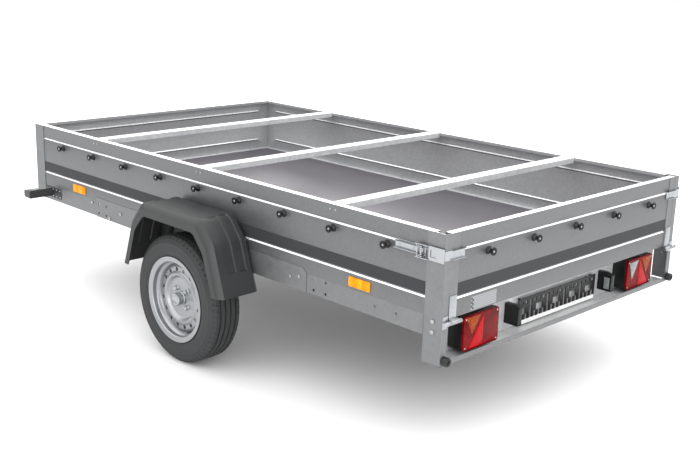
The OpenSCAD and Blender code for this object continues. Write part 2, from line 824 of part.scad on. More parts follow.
module side_reflectors() {
    z = bed_z + 30;
    color("orange") placed() both_sides() for (x = reflector_xs)
        block([x - 52.5, skin_y, z - 18], [x + 52.5, skin_y + 6, z + 18]);
}

module marker_brackets() {
    color([0.08, 0.08, 0.08]) placed() both_sides() {
        block([marker_x0 - 90, skin_y, marker_z - 26], [box_l - post_w, skin_y + 3, marker_z + 26]);
        block([marker_x0, skin_y + 3, marker_z - 20], [marker_x0 + 4, marker_y1, marker_z + 20]);
        block([marker_x0 + 4, marker_y0, marker_z - 18], [marker_x1, marker_y1, marker_z + 18]);
    }
}

button_drop = 89; // below the rim
button_clear = 10; // above the mudguard
button_z = max(rim_z - button_drop, wheel_z + guard_top + button_r + button_clear);

// A spool-shaped button along its own +Z, seated on z = 0.
module button() {
    rotate_extrude() polygon([[0, 0], [button_r - 1, 0], [button_r, 2], [button_r - 1, 7],
        [button_r * 0.5, 10], [button_r * 0.48, button_l - 10], [button_r - 1, button_l - 7],
        [button_r, button_l - 3], [button_r - 2, button_l], [0, button_l]]);
}

button_x0 = 266;
button_pitch = (box_l - 2 * button_x0 - 4) / (side_buttons - 1);

module tarp_buttons() {
    color([0.1, 0.1, 0.1]) placed() both_sides() for (i = [0:side_buttons - 1])
        translate([button_x0 + i * button_pitch, skin_y, button_z]) rotate([-90, 0, 0]) button();
}

rail_bolts = [[2215, -14], [771, -31], [720, -20], [1852, -38], [1964, -23], [2060, -62]];
module frame_bolts() {
    color("silver") placed() both_sides() {
        for (p = rail_bolts) {
            y = p[0] > plate_x0 && p[0] < plate_x1 ? half_w : skin_y;
            rod_y(p[0], y, bed_z + p[1], 7, 5);
        }
        for (dz = post_bolt_zs) {
            rod_y(post_w / 2, skin_y, bed_z + dz, 4.4, post_t + 1);
            rod_y(post_w / 2, half_w, bed_z + dz, 8, 4);
        }
        at_guard_bolts(skin_y) cylinder(r = 4.2, h = guard_mount_y - skin_y + guard_t);
        at_guard_bolts(guard_mount_y + guard_t) cylinder(r = 9, h = 5);
        for (x = bar_xs, i = [-1, 1]) rod_y(x + i * 14, skin_y, rim_z - 20, 4, 2);
    }
}

module buffers() {
    z = bed_z - post_drop + 17;
    color([0.1, 0.1, 0.1]) placed() both_sides()
        rod_x(-buffer_l, half_w - 18, z, 17, buffer_l);
}

stripe_gap = 1.5; // above the lower bead
stripe_z0 = bed_z + bead_lo + bead_h / 2 + stripe_gap;
stripe_h = 46;
stripe_t = 0.5;

module side_stripes() {
    color("dimgray") placed() both_sides() difference() {
        block([post_w + 1, skin_y, stripe_z0],
            [box_l - post_w - 1, skin_y + stripe_t, stripe_z0 + stripe_h]);
        at_guard_bolts(skin_y - eps) cylinder(r = 4.5, h = 3);
    }
}

// ---------- tailgate ----------

end_w = 44;
gate_skin = sheet_t;

module tailgate_panel() {
    half = gate_half - sheet_t;
    color("silver") placed() {
        along_y(-half + end_w, half - end_w) translate([gate_skin, 0])
            wall_outline(gate_z, rim_z, bead_zs, gate_t - 2 * sheet_t, rim_lip, gate_t - 2 * sheet_t);
        both_sides() along_y(half - end_w, half) translate([gate_skin, 0])
            wall_outline(gate_z, rim_z, [], gate_t - 2 * sheet_t, rim_lip, gate_t - 2 * sheet_t);
    }
}

module tailgate_ends() {
    color("gainsboro") placed() both_sides() {
        block([0, gate_half - end_w, gate_z], [sheet_t, gate_half, rim_z]);
        block([gate_t - sheet_t, gate_half - end_w, gate_z], [gate_t, gate_half, rim_z]);
        block([0, gate_half - sheet_t, gate_z], [gate_t, gate_half, rim_z]);
    }
}

knuckle_r = 8;
knuckle_y0 = gate_half - 54;

module hinge_straps() {
    color("whitesmoke") placed() both_sides() difference() {
        union() {
            block([-3, gate_half - 40, gate_z + 2], [0, gate_half - 2, gate_z + 84]);
            block([-hinge_out, gate_half - 40, hinge_z], [0, gate_half - 2, gate_z + 3]);
            rod_y(-hinge_out, knuckle_y0, hinge_z, knuckle_r, gate_half - knuckle_y0);
        }
        rod_y(-hinge_out, knuckle_y0 - eps, hinge_z, hinge_r + run_gap,
            gate_half - knuckle_y0 + 2 * eps);
    }
}

module hinge_brackets() {
    y0 = gate_half + gate_gap + 1;
    color("whitesmoke") placed() both_sides() {
        block([-3, y0, hinge_z - 22], [0, half_w - 2, hinge_z + 24]);
        block([-hinge_out, y0, hinge_z - 5], [0, half_w - 2, hinge_z + 3]);
        rod_y(-hinge_out, y0, hinge_z, knuckle_r, half_w - 2 - y0);
        rod_y(-hinge_out, knuckle_y0, hinge_z, hinge_r, y0 - knuckle_y0 + eps);
    }
}

module tailgate_buttons() {
    pitch = 2 * (gate_half - 204) / (gate_buttons - 1);
    color([0.1, 0.1, 0.1]) placed() for (i = [0:gate_buttons - 1])
        translate([gate_skin, -gate_half + 204 + i * pitch, button_z - 6]) rotate([0, -90, 0]) button();
}

module tailgate_stripe() {
    color("dimgray") placed() block([gate_skin - stripe_t, -gate_half + end_w + 1, stripe_z0],
        [gate_skin, gate_half - end_w - 1, stripe_z0 + stripe_h]);
}

label_w = 144;
label_h = 50;
label_in = 124; // from the tailgate's end

module rating_label() {
    y1 = gate_half - label_in;
    z0 = gate_z + 5;
    color("lightgray") placed()
        block([gate_skin - stripe_t, y1 - label_w, z0], [gate_skin, y1, z0 + label_h]);
}

// ---------- corner latches ----------

latch_z = rim_z - 75;
pivot_lx = 100;
pivot_ly = half_w + 10;
link_lx = pivot_lx + 18;
lever_h = 26;
lever_l = 122;
lever_y0 = pivot_ly - 7.5;
link_h = 50;
link_y0 = lever_y0 + 3;
wing_y0 = half_w + 2;
wing_y1 = link_y0 - move_gap - 0.2;
keeper_h = 34;
keeper_y0 = gate_half - 68;

module latch_bases() {
    z0 = latch_z - 18.5;
    z1 = latch_z + 18.5;
    color("whitesmoke") placed() both_sides() {
        block([post_w + 6, skin_y, z0], [pivot_lx + 112, lever_y0 - move_gap, z1]);
        for (z = [z0, z1 - 3])
            block([pivot_lx - 10, skin_y, z], [pivot_lx + 8, pivot_ly + 8, z + 3]);
        translate([pivot_lx, pivot_ly, z0]) cylinder(r = 3, h = z1 - z0);
    }
}

module latch_lever() {
    difference() {
        union() {
            for (z = [latch_z - lever_h / 2, latch_z + lever_h / 2 - 2]) {
                translate([pivot_lx, pivot_ly, z]) cylinder(r = 7.5, h = 2);
                block([pivot_lx, lever_y0, z], [pivot_lx + lever_l, pivot_ly + 5, z + 2]);
            }
            block([pivot_lx + 8, lever_y0, latch_z - lever_h / 2],
                [pivot_lx + lever_l, lever_y0 + 2, latch_z + lever_h / 2]);
            for (x = [38, 103]) rod_y(pivot_lx + x, lever_y0 + 2, latch_z, 3.5, 2);
        }
        translate([pivot_lx, pivot_ly, latch_z - 40]) cylinder(r = 3 + run_gap, h = 80);
        translate([link_lx, pivot_ly, latch_z - 40]) cylinder(r = 2.5 + run_gap, h = 80);
    }
}

module latch_lever_left() { color("whitesmoke") placed() latch_lever(); }

module latch_lever_right() { color("whitesmoke") placed() mirror([0, 1, 0]) latch_lever(); }

module latch_link() {
    z0 = latch_z - link_h / 2;
    z1 = latch_z + link_h / 2;
    difference() {
        block([-2, link_y0, z0], [68, link_y0 + 2.5, z1]);
        block([33, link_y0 - eps, z0 + 12], [60, link_y0 + 3 + eps, z1 - 12]);
    }
    for (z = [z0, z1 - 3]) block([66, link_y0, z], [link_lx + 6, pivot_ly + 5, z + 3]);
    translate([link_lx, pivot_ly, z0]) cylinder(r = 2.5, h = link_h);
}

module latch_link_left() { color("whitesmoke") placed() latch_link(); }

module latch_link_right() { color("whitesmoke") placed() mirror([0, 1, 0]) latch_link(); }

module latch_keepers() {
    z0 = latch_z - keeper_h / 2;
    z1 = latch_z + keeper_h / 2;
    color("whitesmoke") placed() both_sides() {
        block([-3, keeper_y0, z0], [0, gate_half, z1]);
        block([-3, gate_half - eps, z0], [-0.8, wing_y1, z1]);
        block([-3, wing_y0, z0], [60, wing_y1, z1]);
        for (z = [z0, z1 - 2]) block([-12, keeper_y0, z], [0, gate_half, z + 2]);
    }
}

// ---------- what is drawn ----------

side_panel_left();
side_panel_right();
front_panel();
corner_posts();
side_rail_left();
side_rail_right();
axle_plates();
crossmembers();
rear_beam();
floor_panel();
floor_strips();
cross_bars();
mudguard_left();
mudguard_right();
axle_tube();
axle_brackets();
torsion_rubbers();
drawbar_arm_left();
drawbar_arm_right();
drawbar_nose();
coupling_body();
coupling_clamp();
drawbar_bolts();
lamp_housings();
red_lenses();
amber_lenses();
clear_lenses();
plate_holder();
plate_lamps();
side_reflectors();
marker_brackets();
tarp_buttons();
frame_bolts();
buffers();
side_stripes();
hinge_brackets();
latch_bases();
tailgate_panel();
tailgate_ends();
hinge_straps();
latch_keepers();
tailgate_buttons();
tailgate_stripe();
rating_label();
latch_lever_left();
latch_lever_right();
latch_link_left();
latch_link_right();
coupling_handle();
swing_arm_left();
swing_arm_right();
hub_left();
hub_right();
rim_left();
rim_right();
wheel_bolts_left();
wheel_bolts_right();
tyre_left();
tyre_right();
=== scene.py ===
"""Looks of a single-axle flat-bed trailer with a drop tailgate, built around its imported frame."""

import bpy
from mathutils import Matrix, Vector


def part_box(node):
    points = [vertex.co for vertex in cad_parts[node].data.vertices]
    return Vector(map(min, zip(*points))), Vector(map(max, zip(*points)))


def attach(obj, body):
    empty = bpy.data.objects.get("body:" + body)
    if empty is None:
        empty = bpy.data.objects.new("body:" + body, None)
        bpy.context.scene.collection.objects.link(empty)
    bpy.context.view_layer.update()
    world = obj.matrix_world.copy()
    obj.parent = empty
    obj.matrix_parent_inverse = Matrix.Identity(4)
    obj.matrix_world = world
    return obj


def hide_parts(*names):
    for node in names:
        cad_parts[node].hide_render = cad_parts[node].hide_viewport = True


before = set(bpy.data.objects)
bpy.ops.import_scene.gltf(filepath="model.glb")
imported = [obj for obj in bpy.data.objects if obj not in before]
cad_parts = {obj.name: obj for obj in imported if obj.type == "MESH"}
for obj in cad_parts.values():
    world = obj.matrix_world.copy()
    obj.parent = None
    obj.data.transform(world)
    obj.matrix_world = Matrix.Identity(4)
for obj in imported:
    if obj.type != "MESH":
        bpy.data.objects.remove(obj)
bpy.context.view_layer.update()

import logging
import math
from contextlib import contextmanager
from dataclasses import dataclass
from enum import Enum
from functools import lru_cache
from typing import Callable, Iterator, Sequence

import bmesh
import bpy
from mathutils import Matrix, Vector

LOG = logging.getLogger("trailer")
MM = 0.001
SMOOTH_ANGLE = math.radians(32)
Point = Sequence[float]
Piece = bpy.types.Object


# ---------------------------------------------------------------- finishes


def linear(colour: str) -> tuple[float, float, float, float]:
    """Turns an sRGB hex colour into linear light.

    Args:
        colour: The colour as "#rrggbb".

    Returns:
        Linear red, green and blue, and an alpha of one.
    """
    shares = [int(colour[i:i + 2], 16) / 255 for i in (1, 3, 5)]
    light = [s / 12.92 if s <= 0.04045 else ((s + 0.055) / 1.055) ** 2.4 for s in shares]
    return (light[0], light[1], light[2], 1.0)


def add_node(tree: bpy.types.NodeTree, kind: str, fields: dict | None = None,
             inputs: dict | None = None) -> bpy.types.Node:
    """Adds a node with its settings and links.

    Args:
        tree: The tree that gets the node.
        kind: The node's type name.
        fields: Settings of the node itself.
        inputs: Values, or sockets to link from, for its inputs.

    Returns:
        The new node.
    """
    node = tree.nodes.new(kind)
    for key, value in (fields or {}).items():
        setattr(node, key, value)
    for key, value in (inputs or {}).items():
        if isinstance(value, bpy.types.NodeSocket):
            tree.links.new(value, node.inputs[key])
        else:
            node.inputs[key].default_value = value
    return node


class Grain(Enum):
    """Kinds of surface pattern, with the node that draws each."""

    CRYSTALS = "ShaderNodeTexVoronoi"
    CLOUDS = "ShaderNodeTexNoise"
    RIBS = "ShaderNodeTexWave"


@dataclass(frozen=True)
class Layer:
    """One pattern of a finish, at its real size."""

    grain: Grain
    size_mm: float
    shade: float = 0.0
    rough: float = 0.0
    height_mm: float = 0.0
    stretch: tuple[float, float, float] = (1.0, 1.0, 1.0)
    direction: str = "X"

    def draw(self, tree: bpy.types.NodeTree, place: bpy.types.NodeSocket) -> bpy.types.NodeSocket:
        """Draws the pattern.

        Args:
            tree: The material's tree.
            place: The object coordinates.

        Returns:
            The socket with the pattern's value, about 0 to 1.
        """
        if self.stretch != (1.0, 1.0, 1.0):
            place = add_node(tree, "ShaderNodeMapping", None,
                             {"Vector": place, "Scale": self.stretch}).outputs["Vector"]
        per_metre = 1 / (self.size_mm * MM)
        if self.grain is Grain.CRYSTALS:
            cells = add_node(tree, self.grain.value, None, {"Vector": place, "Scale": per_metre})
            return add_node(tree, "ShaderNodeSeparateColor", None,
                            {"Color": cells.outputs["Color"]}).outputs["Red"]
        if self.grain is Grain.RIBS:
            # A wave repeats every tau / 20 at a scale of one.
            return add_node(tree, self.grain.value, {"bands_direction": self.direction},
                            {"Vector": place, "Scale": per_metre * math.tau / 20}).outputs["Fac"]
        return add_node(tree, self.grain.value, None,
                        {"Vector": place, "Scale": per_metre, "Detail": 4.0,
                         "Roughness": 0.6}).outputs["Fac"]


@dataclass(frozen=True)
class Finish:
    """A real material and how its surface was made."""

    name: str
    slot: str
    colour: str
    roughness: float
    layers: tuple[Layer, ...]
    metallic: float = 0.0
    coat: float = 0.0
    coat_roughness: float = 0.1
    specular: float = 0.5

    def material(self) -> bpy.types.Material:
        """Returns the finish as a Blender material, made once."""
        return _material(self)


@lru_cache(maxsize=None)
def _material(finish: Finish) -> bpy.types.Material:
    """Builds the node tree of a finish.

    Args:
        finish: The finish.

    Returns:
        Its material.
    """
    material = bpy.data.materials.new(finish.name)
    material.use_nodes = True
    tree = material.node_tree
    shader = tree.nodes["Principled BSDF"]
    place = add_node(tree, "ShaderNodeTexCoord").outputs["Object"]
    colour: object = linear(finish.colour)
    rough: object = finish.roughness
    normal: bpy.types.NodeSocket | None = None
    for layer in finish.layers:
        value = layer.draw(tree, place)
        if layer.shade:
            dark = add_node(tree, "ShaderNodeMapRange", None,
                            {"Value": value, "From Min": 0.2, "From Max": 0.8,
                             "To Min": 1 - layer.shade, "To Max": 1 + layer.shade})
            colour = add_node(tree, "ShaderNodeVectorMath", {"operation": "SCALE"},
                              {0: colour if not isinstance(colour, tuple) else colour[:3],
                               "Scale": dark.outputs["Result"]}).outputs["Vector"]
        if layer.rough:
            rough = add_node(tree, "ShaderNodeMath", {"operation": "MULTIPLY_ADD", "use_clamp": True},
                             {0: value, 1: layer.rough, 2: rough}).outputs["Value"]
        if layer.height_mm:
            bump = {"Height": value, "Distance": layer.height_mm * MM}
            if normal is not None:
                bump["Normal"] = normal
            normal = add_node(tree, "ShaderNodeBump", None, bump).outputs["Normal"]
    for key, value in (("Base Color", colour), ("Roughness", rough), ("Normal", normal)):
        if isinstance(value, bpy.types.NodeSocket):
            tree.links.new(value, shader.inputs[key])
        elif value is not None:
            shader.inputs[key].default_value = value
    shader.inputs["Metallic"].default_value = finish.metallic
    shader.inputs["Coat Weight"].default_value = finish.coat
    shader.inputs["Coat Roughness"].default_value = finish.coat_roughness
    shader.inputs["Specular IOR Level"].default_value = finish.specular
    return material


# Steel strip, hot-dip galvanised in a continuous line: flat crystals about 9 mm across, each a
# slightly different grey and gloss, with faint long streaks from the rollers.
SHEET_ZINC = Finish(
    "spangled_zinc_sheet", "galvanised_sheet", "#727374", 0.36,
    (Layer(Grain.CRYSTALS, 9, shade=0.05, rough=0.10),
     Layer(Grain.CLOUDS, 140, shade=0.05, rough=0.06, stretch=(0.25, 0.25, 1.0)),
     Layer(Grain.CLOUDS, 1.5, shade=0.02, height_mm=0.03)),
    metallic=0.72)
# Welded steel dipped in a zinc bath after it was made: duller, cloudy, with slight runs.
FRAME_ZINC = Finish(
    "dipped_zinc_frame", "galvanised_frame", "#7c7d7e", 0.42,
    (Layer(Grain.CLOUDS, 60, shade=0.08, rough=0.12),
     Layer(Grain.CRYSTALS, 14, shade=0.04, rough=0.06),
     Layer(Grain.CLOUDS, 4, shade=0.02, height_mm=0.08)),
    metallic=0.70)
# The same dipped zinc, drawn paler and frosted: it stands in for the light that gathers inside
# the rear channel and on the bars.
CHANNEL_LIGHT_ZINC = Finish(
    "fresh_dipped_zinc", "galvanised_frame", "#c9cacb", 0.34,
    (Layer(Grain.CLOUDS, 70, shade=0.12, rough=0.10, stretch=(1.0, 0.4, 1.0)),
     Layer(Grain.CRYSTALS, 14, shade=0.05, rough=0.06)),
    metallic=0.30)
# The same sheet on the walls' inner side, drawn paler: it stands in for the light that bounces
# between the walls.
BOUNCE_LIGHT_ZINC = Finish(
    "clean_zinc_sheet", "galvanised_sheet", "#b4b5b6", 0.30,
    (Layer(Grain.CRYSTALS, 9, shade=0.05, rough=0.08),
     Layer(Grain.CLOUDS, 180, shade=0.08, rough=0.08, stretch=(0.25, 0.25, 1.0))),
    metallic=0.55)
# The same sheet where a fold or a bead's slope faces up, drawn nearly white: it stands in for
# the sky's bright reflection and gives each bead its sharp line.
HIGHLIGHT_ZINC = Finish(
    "press_burnished_zinc", "galvanised_sheet", "#f6f6f6", 0.22,
    (Layer(Grain.CLOUDS, 40, shade=0.04, rough=0.08, stretch=(0.3, 0.3, 1.0)),
     Layer(Grain.CRYSTALS, 9, shade=0.03, rough=0.04)),
    metallic=0.15)
# Small pressed and turned steel parts, electroplated with bright zinc: glossier and whiter.
BRIGHT_ZINC = Finish(
    "bright_zinc_plating", "zinc_plating", "#a9acaf", 0.24,
    (Layer(Grain.CLOUDS, 9, shade=0.05, rough=0.14),
     Layer(Grain.CLOUDS, 1.2, shade=0.02, height_mm=0.02)),
    metallic=0.95)
# Birch plywood pressed with a phenolic film: dark grey-violet, a smooth sheen, and a fine wire
# texture drawn coarser than the real 2 mm so that it shows.
PLYWOOD = Finish(
    "film_faced_plywood", "film_faced_plywood", "#57545a", 0.30,
    (Layer(Grain.CLOUDS, 220, shade=0.10, rough=0.12, stretch=(0.4, 1.0, 1.0)),
     Layer(Grain.RIBS, 9, shade=0.02, rough=0.05, height_mm=0.12, direction="X"),
     Layer(Grain.RIBS, 9, height_mm=0.12, direction="Y"),
     Layer(Grain.CLOUDS, 12, shade=0.04, rough=0.06)))
# Polypropylene, injection moulded in an eroded tool: an even fine grain and a soft shine.
GRAINED_PLASTIC = Finish(
    "grained_polypropylene", "black_plastic", "#232425", 0.38,
    (Layer(Grain.CLOUDS, 2.2, shade=0.10, rough=0.10, height_mm=0.10),
     Layer(Grain.CLOUDS, 80, shade=0.10, rough=0.08)))
# ABS, moulded in a polished tool: smoother and glossier, with faint flow marks.
GLOSS_PLASTIC = Finish(
    "moulded_abs", "black_plastic", "#0e0f10", 0.24,
    (Layer(Grain.CLOUDS, 26, shade=0.12, rough=0.10, stretch=(1.0, 0.4, 1.0)),
     Layer(Grain.CLOUDS, 1.4, rough=0.05, height_mm=0.03)),
    specular=0.3)
# Carbon-black tyre rubber, cured in a steel mould: matt, with dusty grey in the low spots.
TYRE_RUBBER = Finish(
    "cured_tyre_rubber", "tyre_rubber", "#2a2b2c", 0.58,
    (Layer(Grain.CLOUDS, 30, shade=0.12, rough=0.10),
     Layer(Grain.CLOUDS, 1.8, shade=0.08, rough=0.08, height_mm=0.12)))
# Moulded buffer rubber: darker and smoother than the tyre.
BUFFER_RUBBER = Finish(
    "moulded_rubber", "black_rubber", "#141414", 0.50,
    (Layer(Grain.CLOUDS, 14, shade=0.12, rough=0.12),
     Layer(Grain.CLOUDS, 1.2, height_mm=0.06)))
# Steel rim with silver stoved enamel: fine metal flake under a thin clear coat.
RIM_PAINT = Finish(
    "silver_stoved_enamel", "silver_rim", "#97999b", 0.30,
    (Layer(Grain.CRYSTALS, 1.6, shade=0.04, rough=0.06),
     Layer(Grain.CLOUDS, 45, shade=0.03, rough=0.05)),
    metallic=0.80, coat=0.25, coat_roughness=0.12)
# Acrylic lamp glass with moulded prisms about 5 mm wide behind a polished face.
RED_LENS = Finish(
    "red_prismatic_acrylic", "red_lens", "#640105", 0.22,
    (Layer(Grain.RIBS, 5, shade=0.16, height_mm=0.35, direction="Y"),
     Layer(Grain.RIBS, 5, shade=0.10, height_mm=0.35, direction="Z"),
     Layer(Grain.CRYSTALS, 22, shade=0.32, rough=0.05)),
    specular=0.12)
# The smooth reflex field of the same lamp glass: brighter and more even.
BRIGHT_RED_LENS = Finish(
    "red_reflex_acrylic", "red_lens", "#a3000a", 0.26,
    (Layer(Grain.CRYSTALS, 3, shade=0.06, height_mm=0.10),
     Layer(Grain.CLOUDS, 30, shade=0.05, rough=0.04)),
    specular=0.12)
# Amber acrylic with the same prisms, dull where the bulb behind is off.
AMBER_LENS = Finish(
    "amber_prismatic_acrylic", "amber_lens", "#86390c", 0.22,
    (Layer(Grain.CRYSTALS, 7, shade=0.30, height_mm=0.20),
     Layer(Grain.RIBS, 5, shade=0.12, height_mm=0.35, direction="Z")),
    specular=0.12)
# Amber reflex reflector: a tight grid of corner cubes that lights up evenly.
AMBER_REFLEX = Finish(
    "amber_reflex_acrylic", "amber_lens", "#f29200", 0.28,
    (Layer(Grain.CRYSTALS, 4, shade=0.10, height_mm=0.10),
     Layer(Grain.RIBS, 52, shade=0.16, direction="X")),
    specular=0.15)
# Clear acrylic over a pale reflector: grey-white with fine ribs.
CLEAR_LENS = Finish(
    "clear_ribbed_acrylic", "clear_lens", "#777b7c", 0.14,
    (Layer(Grain.RIBS, 4, shade=0.12, height_mm=0.25, direction="Z"),
     Layer(Grain.CRYSTALS, 9, shade=0.10)),
    coat=0.15, coat_roughness=0.05)
# Printed cast vinyl tape: flat dark grey with the slight orange peel of its glue.
VINYL = Finish(
    "cast_vinyl_tape", "grey_film", "#353638", 0.42,
    (Layer(Grain.CLOUDS, 5, shade=0.03, rough=0.06, height_mm=0.03),
     Layer(Grain.CLOUDS, 160, shade=0.05, rough=0.04)),
    specular=0.15)
# Black squares printed on the label's edge.
BLACK_INK = Finish(
    "printed_black_vinyl", "grey_film", "#101113", 0.40,
    (Layer(Grain.CLOUDS, 4, shade=0.08, rough=0.08, height_mm=0.02),))
# White printed polyester, as on the strip of the plate holder.
WHITE_FILM = Finish(
    "white_polyester_film", "silver_label", "#f2f2f0", 0.32,
    (Layer(Grain.CLOUDS, 6, shade=0.02, rough=0.06, height_mm=0.02),
     Layer(Grain.CLOUDS, 90, shade=0.03)))
# Brushed aluminium foil label with rows of thin ruled lines 8 mm apart.
FOIL = Finish(
    "brushed_foil_label", "silver_label", "#8e9092", 0.34,
    (Layer(Grain.RIBS, 9, shade=0.10, direction="Z"),
     Layer(Grain.CLOUDS, 3, shade=0.04, rough=0.10, stretch=(1.0, 0.1, 1.0))),
    metallic=0.5)
# Cast iron coupling with black gloss paint: slight casting lumps under an even gloss.
CAST_BLACK = Finish(
    "painted_cast_iron", "black_handle", "#1b1c1e", 0.28,
    (Layer(Grain.CLOUDS, 7, shade=0.08, rough=0.08, height_mm=0.15),
     Layer(Grain.CLOUDS, 50, shade=0.08, rough=0.05)),
    coat=0.3)
# Studio floor: matt white sheet with a trace of unevenness.
STUDIO_WHITE = Finish(
    "matt_white_sheet", "", "#e6e6e6", 0.9,
    (Layer(Grain.CLOUDS, 900, shade=0.006),))


# ---------------------------------------------------------------- modelling


class Axis(Enum):
    """Directions of a turned piece: its start radius and its axis."""

    X = ((0, 0, 1), (1, 0, 0))
    Y = ((1, 0, 0), (0, 1, 0))
    Z = ((1, 0, 0), (0, 0, 1))

    @property
    def radial(self) -> Vector:
        """The direction in which the profile is drawn."""
        return Vector(self.value[0])

    @property
    def along(self) -> Vector:
        """The direction of the axis."""
        return Vector(self.value[1])


class Kind(Enum):
    """What a selection picks."""

    VERT = "verts"
    EDGE = "edges"
    FACE = "faces"


def activate(piece: Piece) -> None:
    """Leaves only this piece selected and active, in object mode."""
    if bpy.context.object and bpy.context.object.mode != "OBJECT":
        bpy.ops.object.mode_set(mode="OBJECT")
    bpy.ops.object.select_all(action="DESELECT")
    piece.select_set(True)
    bpy.context.view_layer.objects.active = piece


@contextmanager
def editing(piece: Piece) -> Iterator[None]:
    """Opens edit mode on one piece, with everything in it selected."""
    activate(piece)
    bpy.ops.object.mode_set(mode="EDIT")
    bpy.ops.mesh.select_mode(type="VERT")
    bpy.ops.mesh.select_all(action="SELECT")
    yield
    bpy.ops.object.mode_set(mode="OBJECT")


def middle(item: object) -> Vector:
    """Returns the middle of a vertex, an edge or a face."""
    if isinstance(item, bmesh.types.BMVert):
        return item.co.copy()
    return sum((v.co for v in item.verts), Vector()) / len(item.verts)


def pick(piece: Piece, kind: Kind, test: Callable[[object], bool]) -> int:
    """Selects only what passes a test, in edit mode.

    Args:
        piece: The piece in edit mode.
        kind: What is picked.
        test: Says whether an item is picked, by its place or normal.

    Returns:
        How many were picked.
    """
    bpy.ops.mesh.select_mode(type=kind.name)
    bpy.ops.mesh.select_all(action="DESELECT")
    mesh = bmesh.from_edit_mesh(piece.data)
    mesh.normal_update()
    found = [item for item in getattr(mesh, kind.value) if test(item)]
    for item in found:
        item.select_set(True)
    mesh.select_flush_mode()
    bmesh.update_edit_mesh(piece.data)
    return len(found)


def round_corners(piece: Piece, axis: Axis, radius: float, segments: int) -> None:
    """Bevels the edges that run along an axis, in edit mode."""
    pick(piece, Kind.EDGE, lambda edge: abs(
        (edge.verts[0].co - edge.verts[1].co).normalized().dot(axis.along)) > 0.9)
    bpy.ops.mesh.bevel(offset=radius, segments=segments, affect="EDGES")


def inset_faces(piece: Piece, axis: Axis, way: int, *steps: tuple[float, float]) -> None:
    """Insets the faces that look along an axis (way 1) or against it (way -1), in edit mode.

    Each step is a pair of width and depth, in metres.
    """
    pick(piece, Kind.FACE, lambda face: face.normal.dot(axis.along) * way > 0.9)
    for width, depth in steps:
        bpy.ops.mesh.inset(thickness=width, depth=depth)


def face_outwards() -> None:
    """Selects the whole mesh in edit mode and turns its normals outwards."""
    bpy.ops.mesh.select_all(action="SELECT")
    bpy.ops.mesh.normals_make_consistent(inside=False)


def mirror_across() -> None:
    """Mirrors the selection across the trailer, in edit mode, and keeps its faces outwards."""
    bpy.ops.transform.resize(value=(1, -1, 1), center_override=(0, 0, 0))
    bpy.ops.mesh.flip_normals()


def apply_modifier(piece: Piece, kind: str, **settings: object) -> None:
    """Adds a modifier with these settings and applies it."""
    activate(piece)
    modifier = piece.modifiers.new(kind.lower(), kind)
    for key, value in settings.items():
        setattr(modifier, key, value)
    bpy.ops.object.modifier_apply(modifier=modifier.name)


def round_edges(piece: Piece, width: float, segments: int = 2, angle: float = 35.0) -> None:
    """Bevels every edge sharper than the angle in degrees, by a width in metres."""
    apply_modifier(piece, "BEVEL", width=width, segments=segments, limit_method="ANGLE",
                   angle_limit=math.radians(angle), use_clamp_overlap=True)


def settle(name: str) -> Piece:
    """Names the new primitive and moves its place into its mesh."""
    piece = bpy.context.object
    piece.name = piece.data.name = name
    activate(piece)
    bpy.ops.object.transform_apply(location=True, rotation=True, scale=True)
    return piece


def block(name: str, low: Point, high: Point) -> Piece:
    """Adds a box from its lowest to its highest corner."""
    low, high = Vector(low), Vector(high)
    bpy.ops.mesh.primitive_cube_add(size=1, location=(low + high) / 2, scale=high - low)
    return settle(name)


def chain(name: str, points: Sequence[Point], closed: bool = False) -> Piece:
    """Draws a line of edges by extruding one vertex from point to point.

    Args:
        name: The piece's name.
        points: The places along the line, in metres.
        closed: Whether the last point is joined to the first.

    Returns:
        The piece.
    """
    spots = [Vector(p) for p in points]
    bpy.ops.mesh.primitive_plane_add(size=MM, location=spots[0])
    piece = settle(name)
    with editing(piece):
        bpy.ops.mesh.merge(type="CENTER")
        for last, spot in zip(spots, spots[1:]):
            bpy.ops.mesh.extrude_region_move(TRANSFORM_OT_translate={"value": spot - last})
        if closed:
            ends = (spots[0], spots[-1])
            pick(piece, Kind.VERT, lambda v: any((v.co - e).length < MM / 50 for e in ends))
            bpy.ops.mesh.edge_face_add()
    return piece


def extruded(name: str, outline: Sequence[Point], reach: Point) -> Piece:
    """Fills a flat outline and extrudes it by a vector."""
    piece = chain(name, outline)
    with editing(piece):
        bpy.ops.mesh.edge_face_add()
        bpy.ops.mesh.extrude_region_move(TRANSFORM_OT_translate={"value": Vector(reach)})
        face_outwards()
    return piece


def turned(name: str, profile: Sequence[tuple[float, float]], centre: Point, axis: Axis,
           steps: int = 32, closed: bool = False) -> Piece:
    """Spins a profile round an axis.

    Args:
        name: The piece's name.
        profile: Pairs of radius and place along the axis, in millimetres.
        centre: The axis's zero, in metres.
        axis: The axis's direction.
        steps: Steps in a full turn.
        closed: Whether the profile is a closed loop.

    Returns:
        The piece, with its faces outwards.
    """
    centre = Vector(centre)
    points = [centre + axis.radial * r * MM + axis.along * a * MM for r, a in profile]
    piece = chain(name, points, closed)
    with editing(piece):
        bpy.ops.mesh.spin(steps=steps, angle=math.tau, center=centre, axis=axis.along)
        bpy.ops.mesh.select_all(action="SELECT")
        bpy.ops.mesh.remove_doubles(threshold=MM / 50)
        bpy.ops.mesh.normals_make_consistent(inside=False)
    return piece


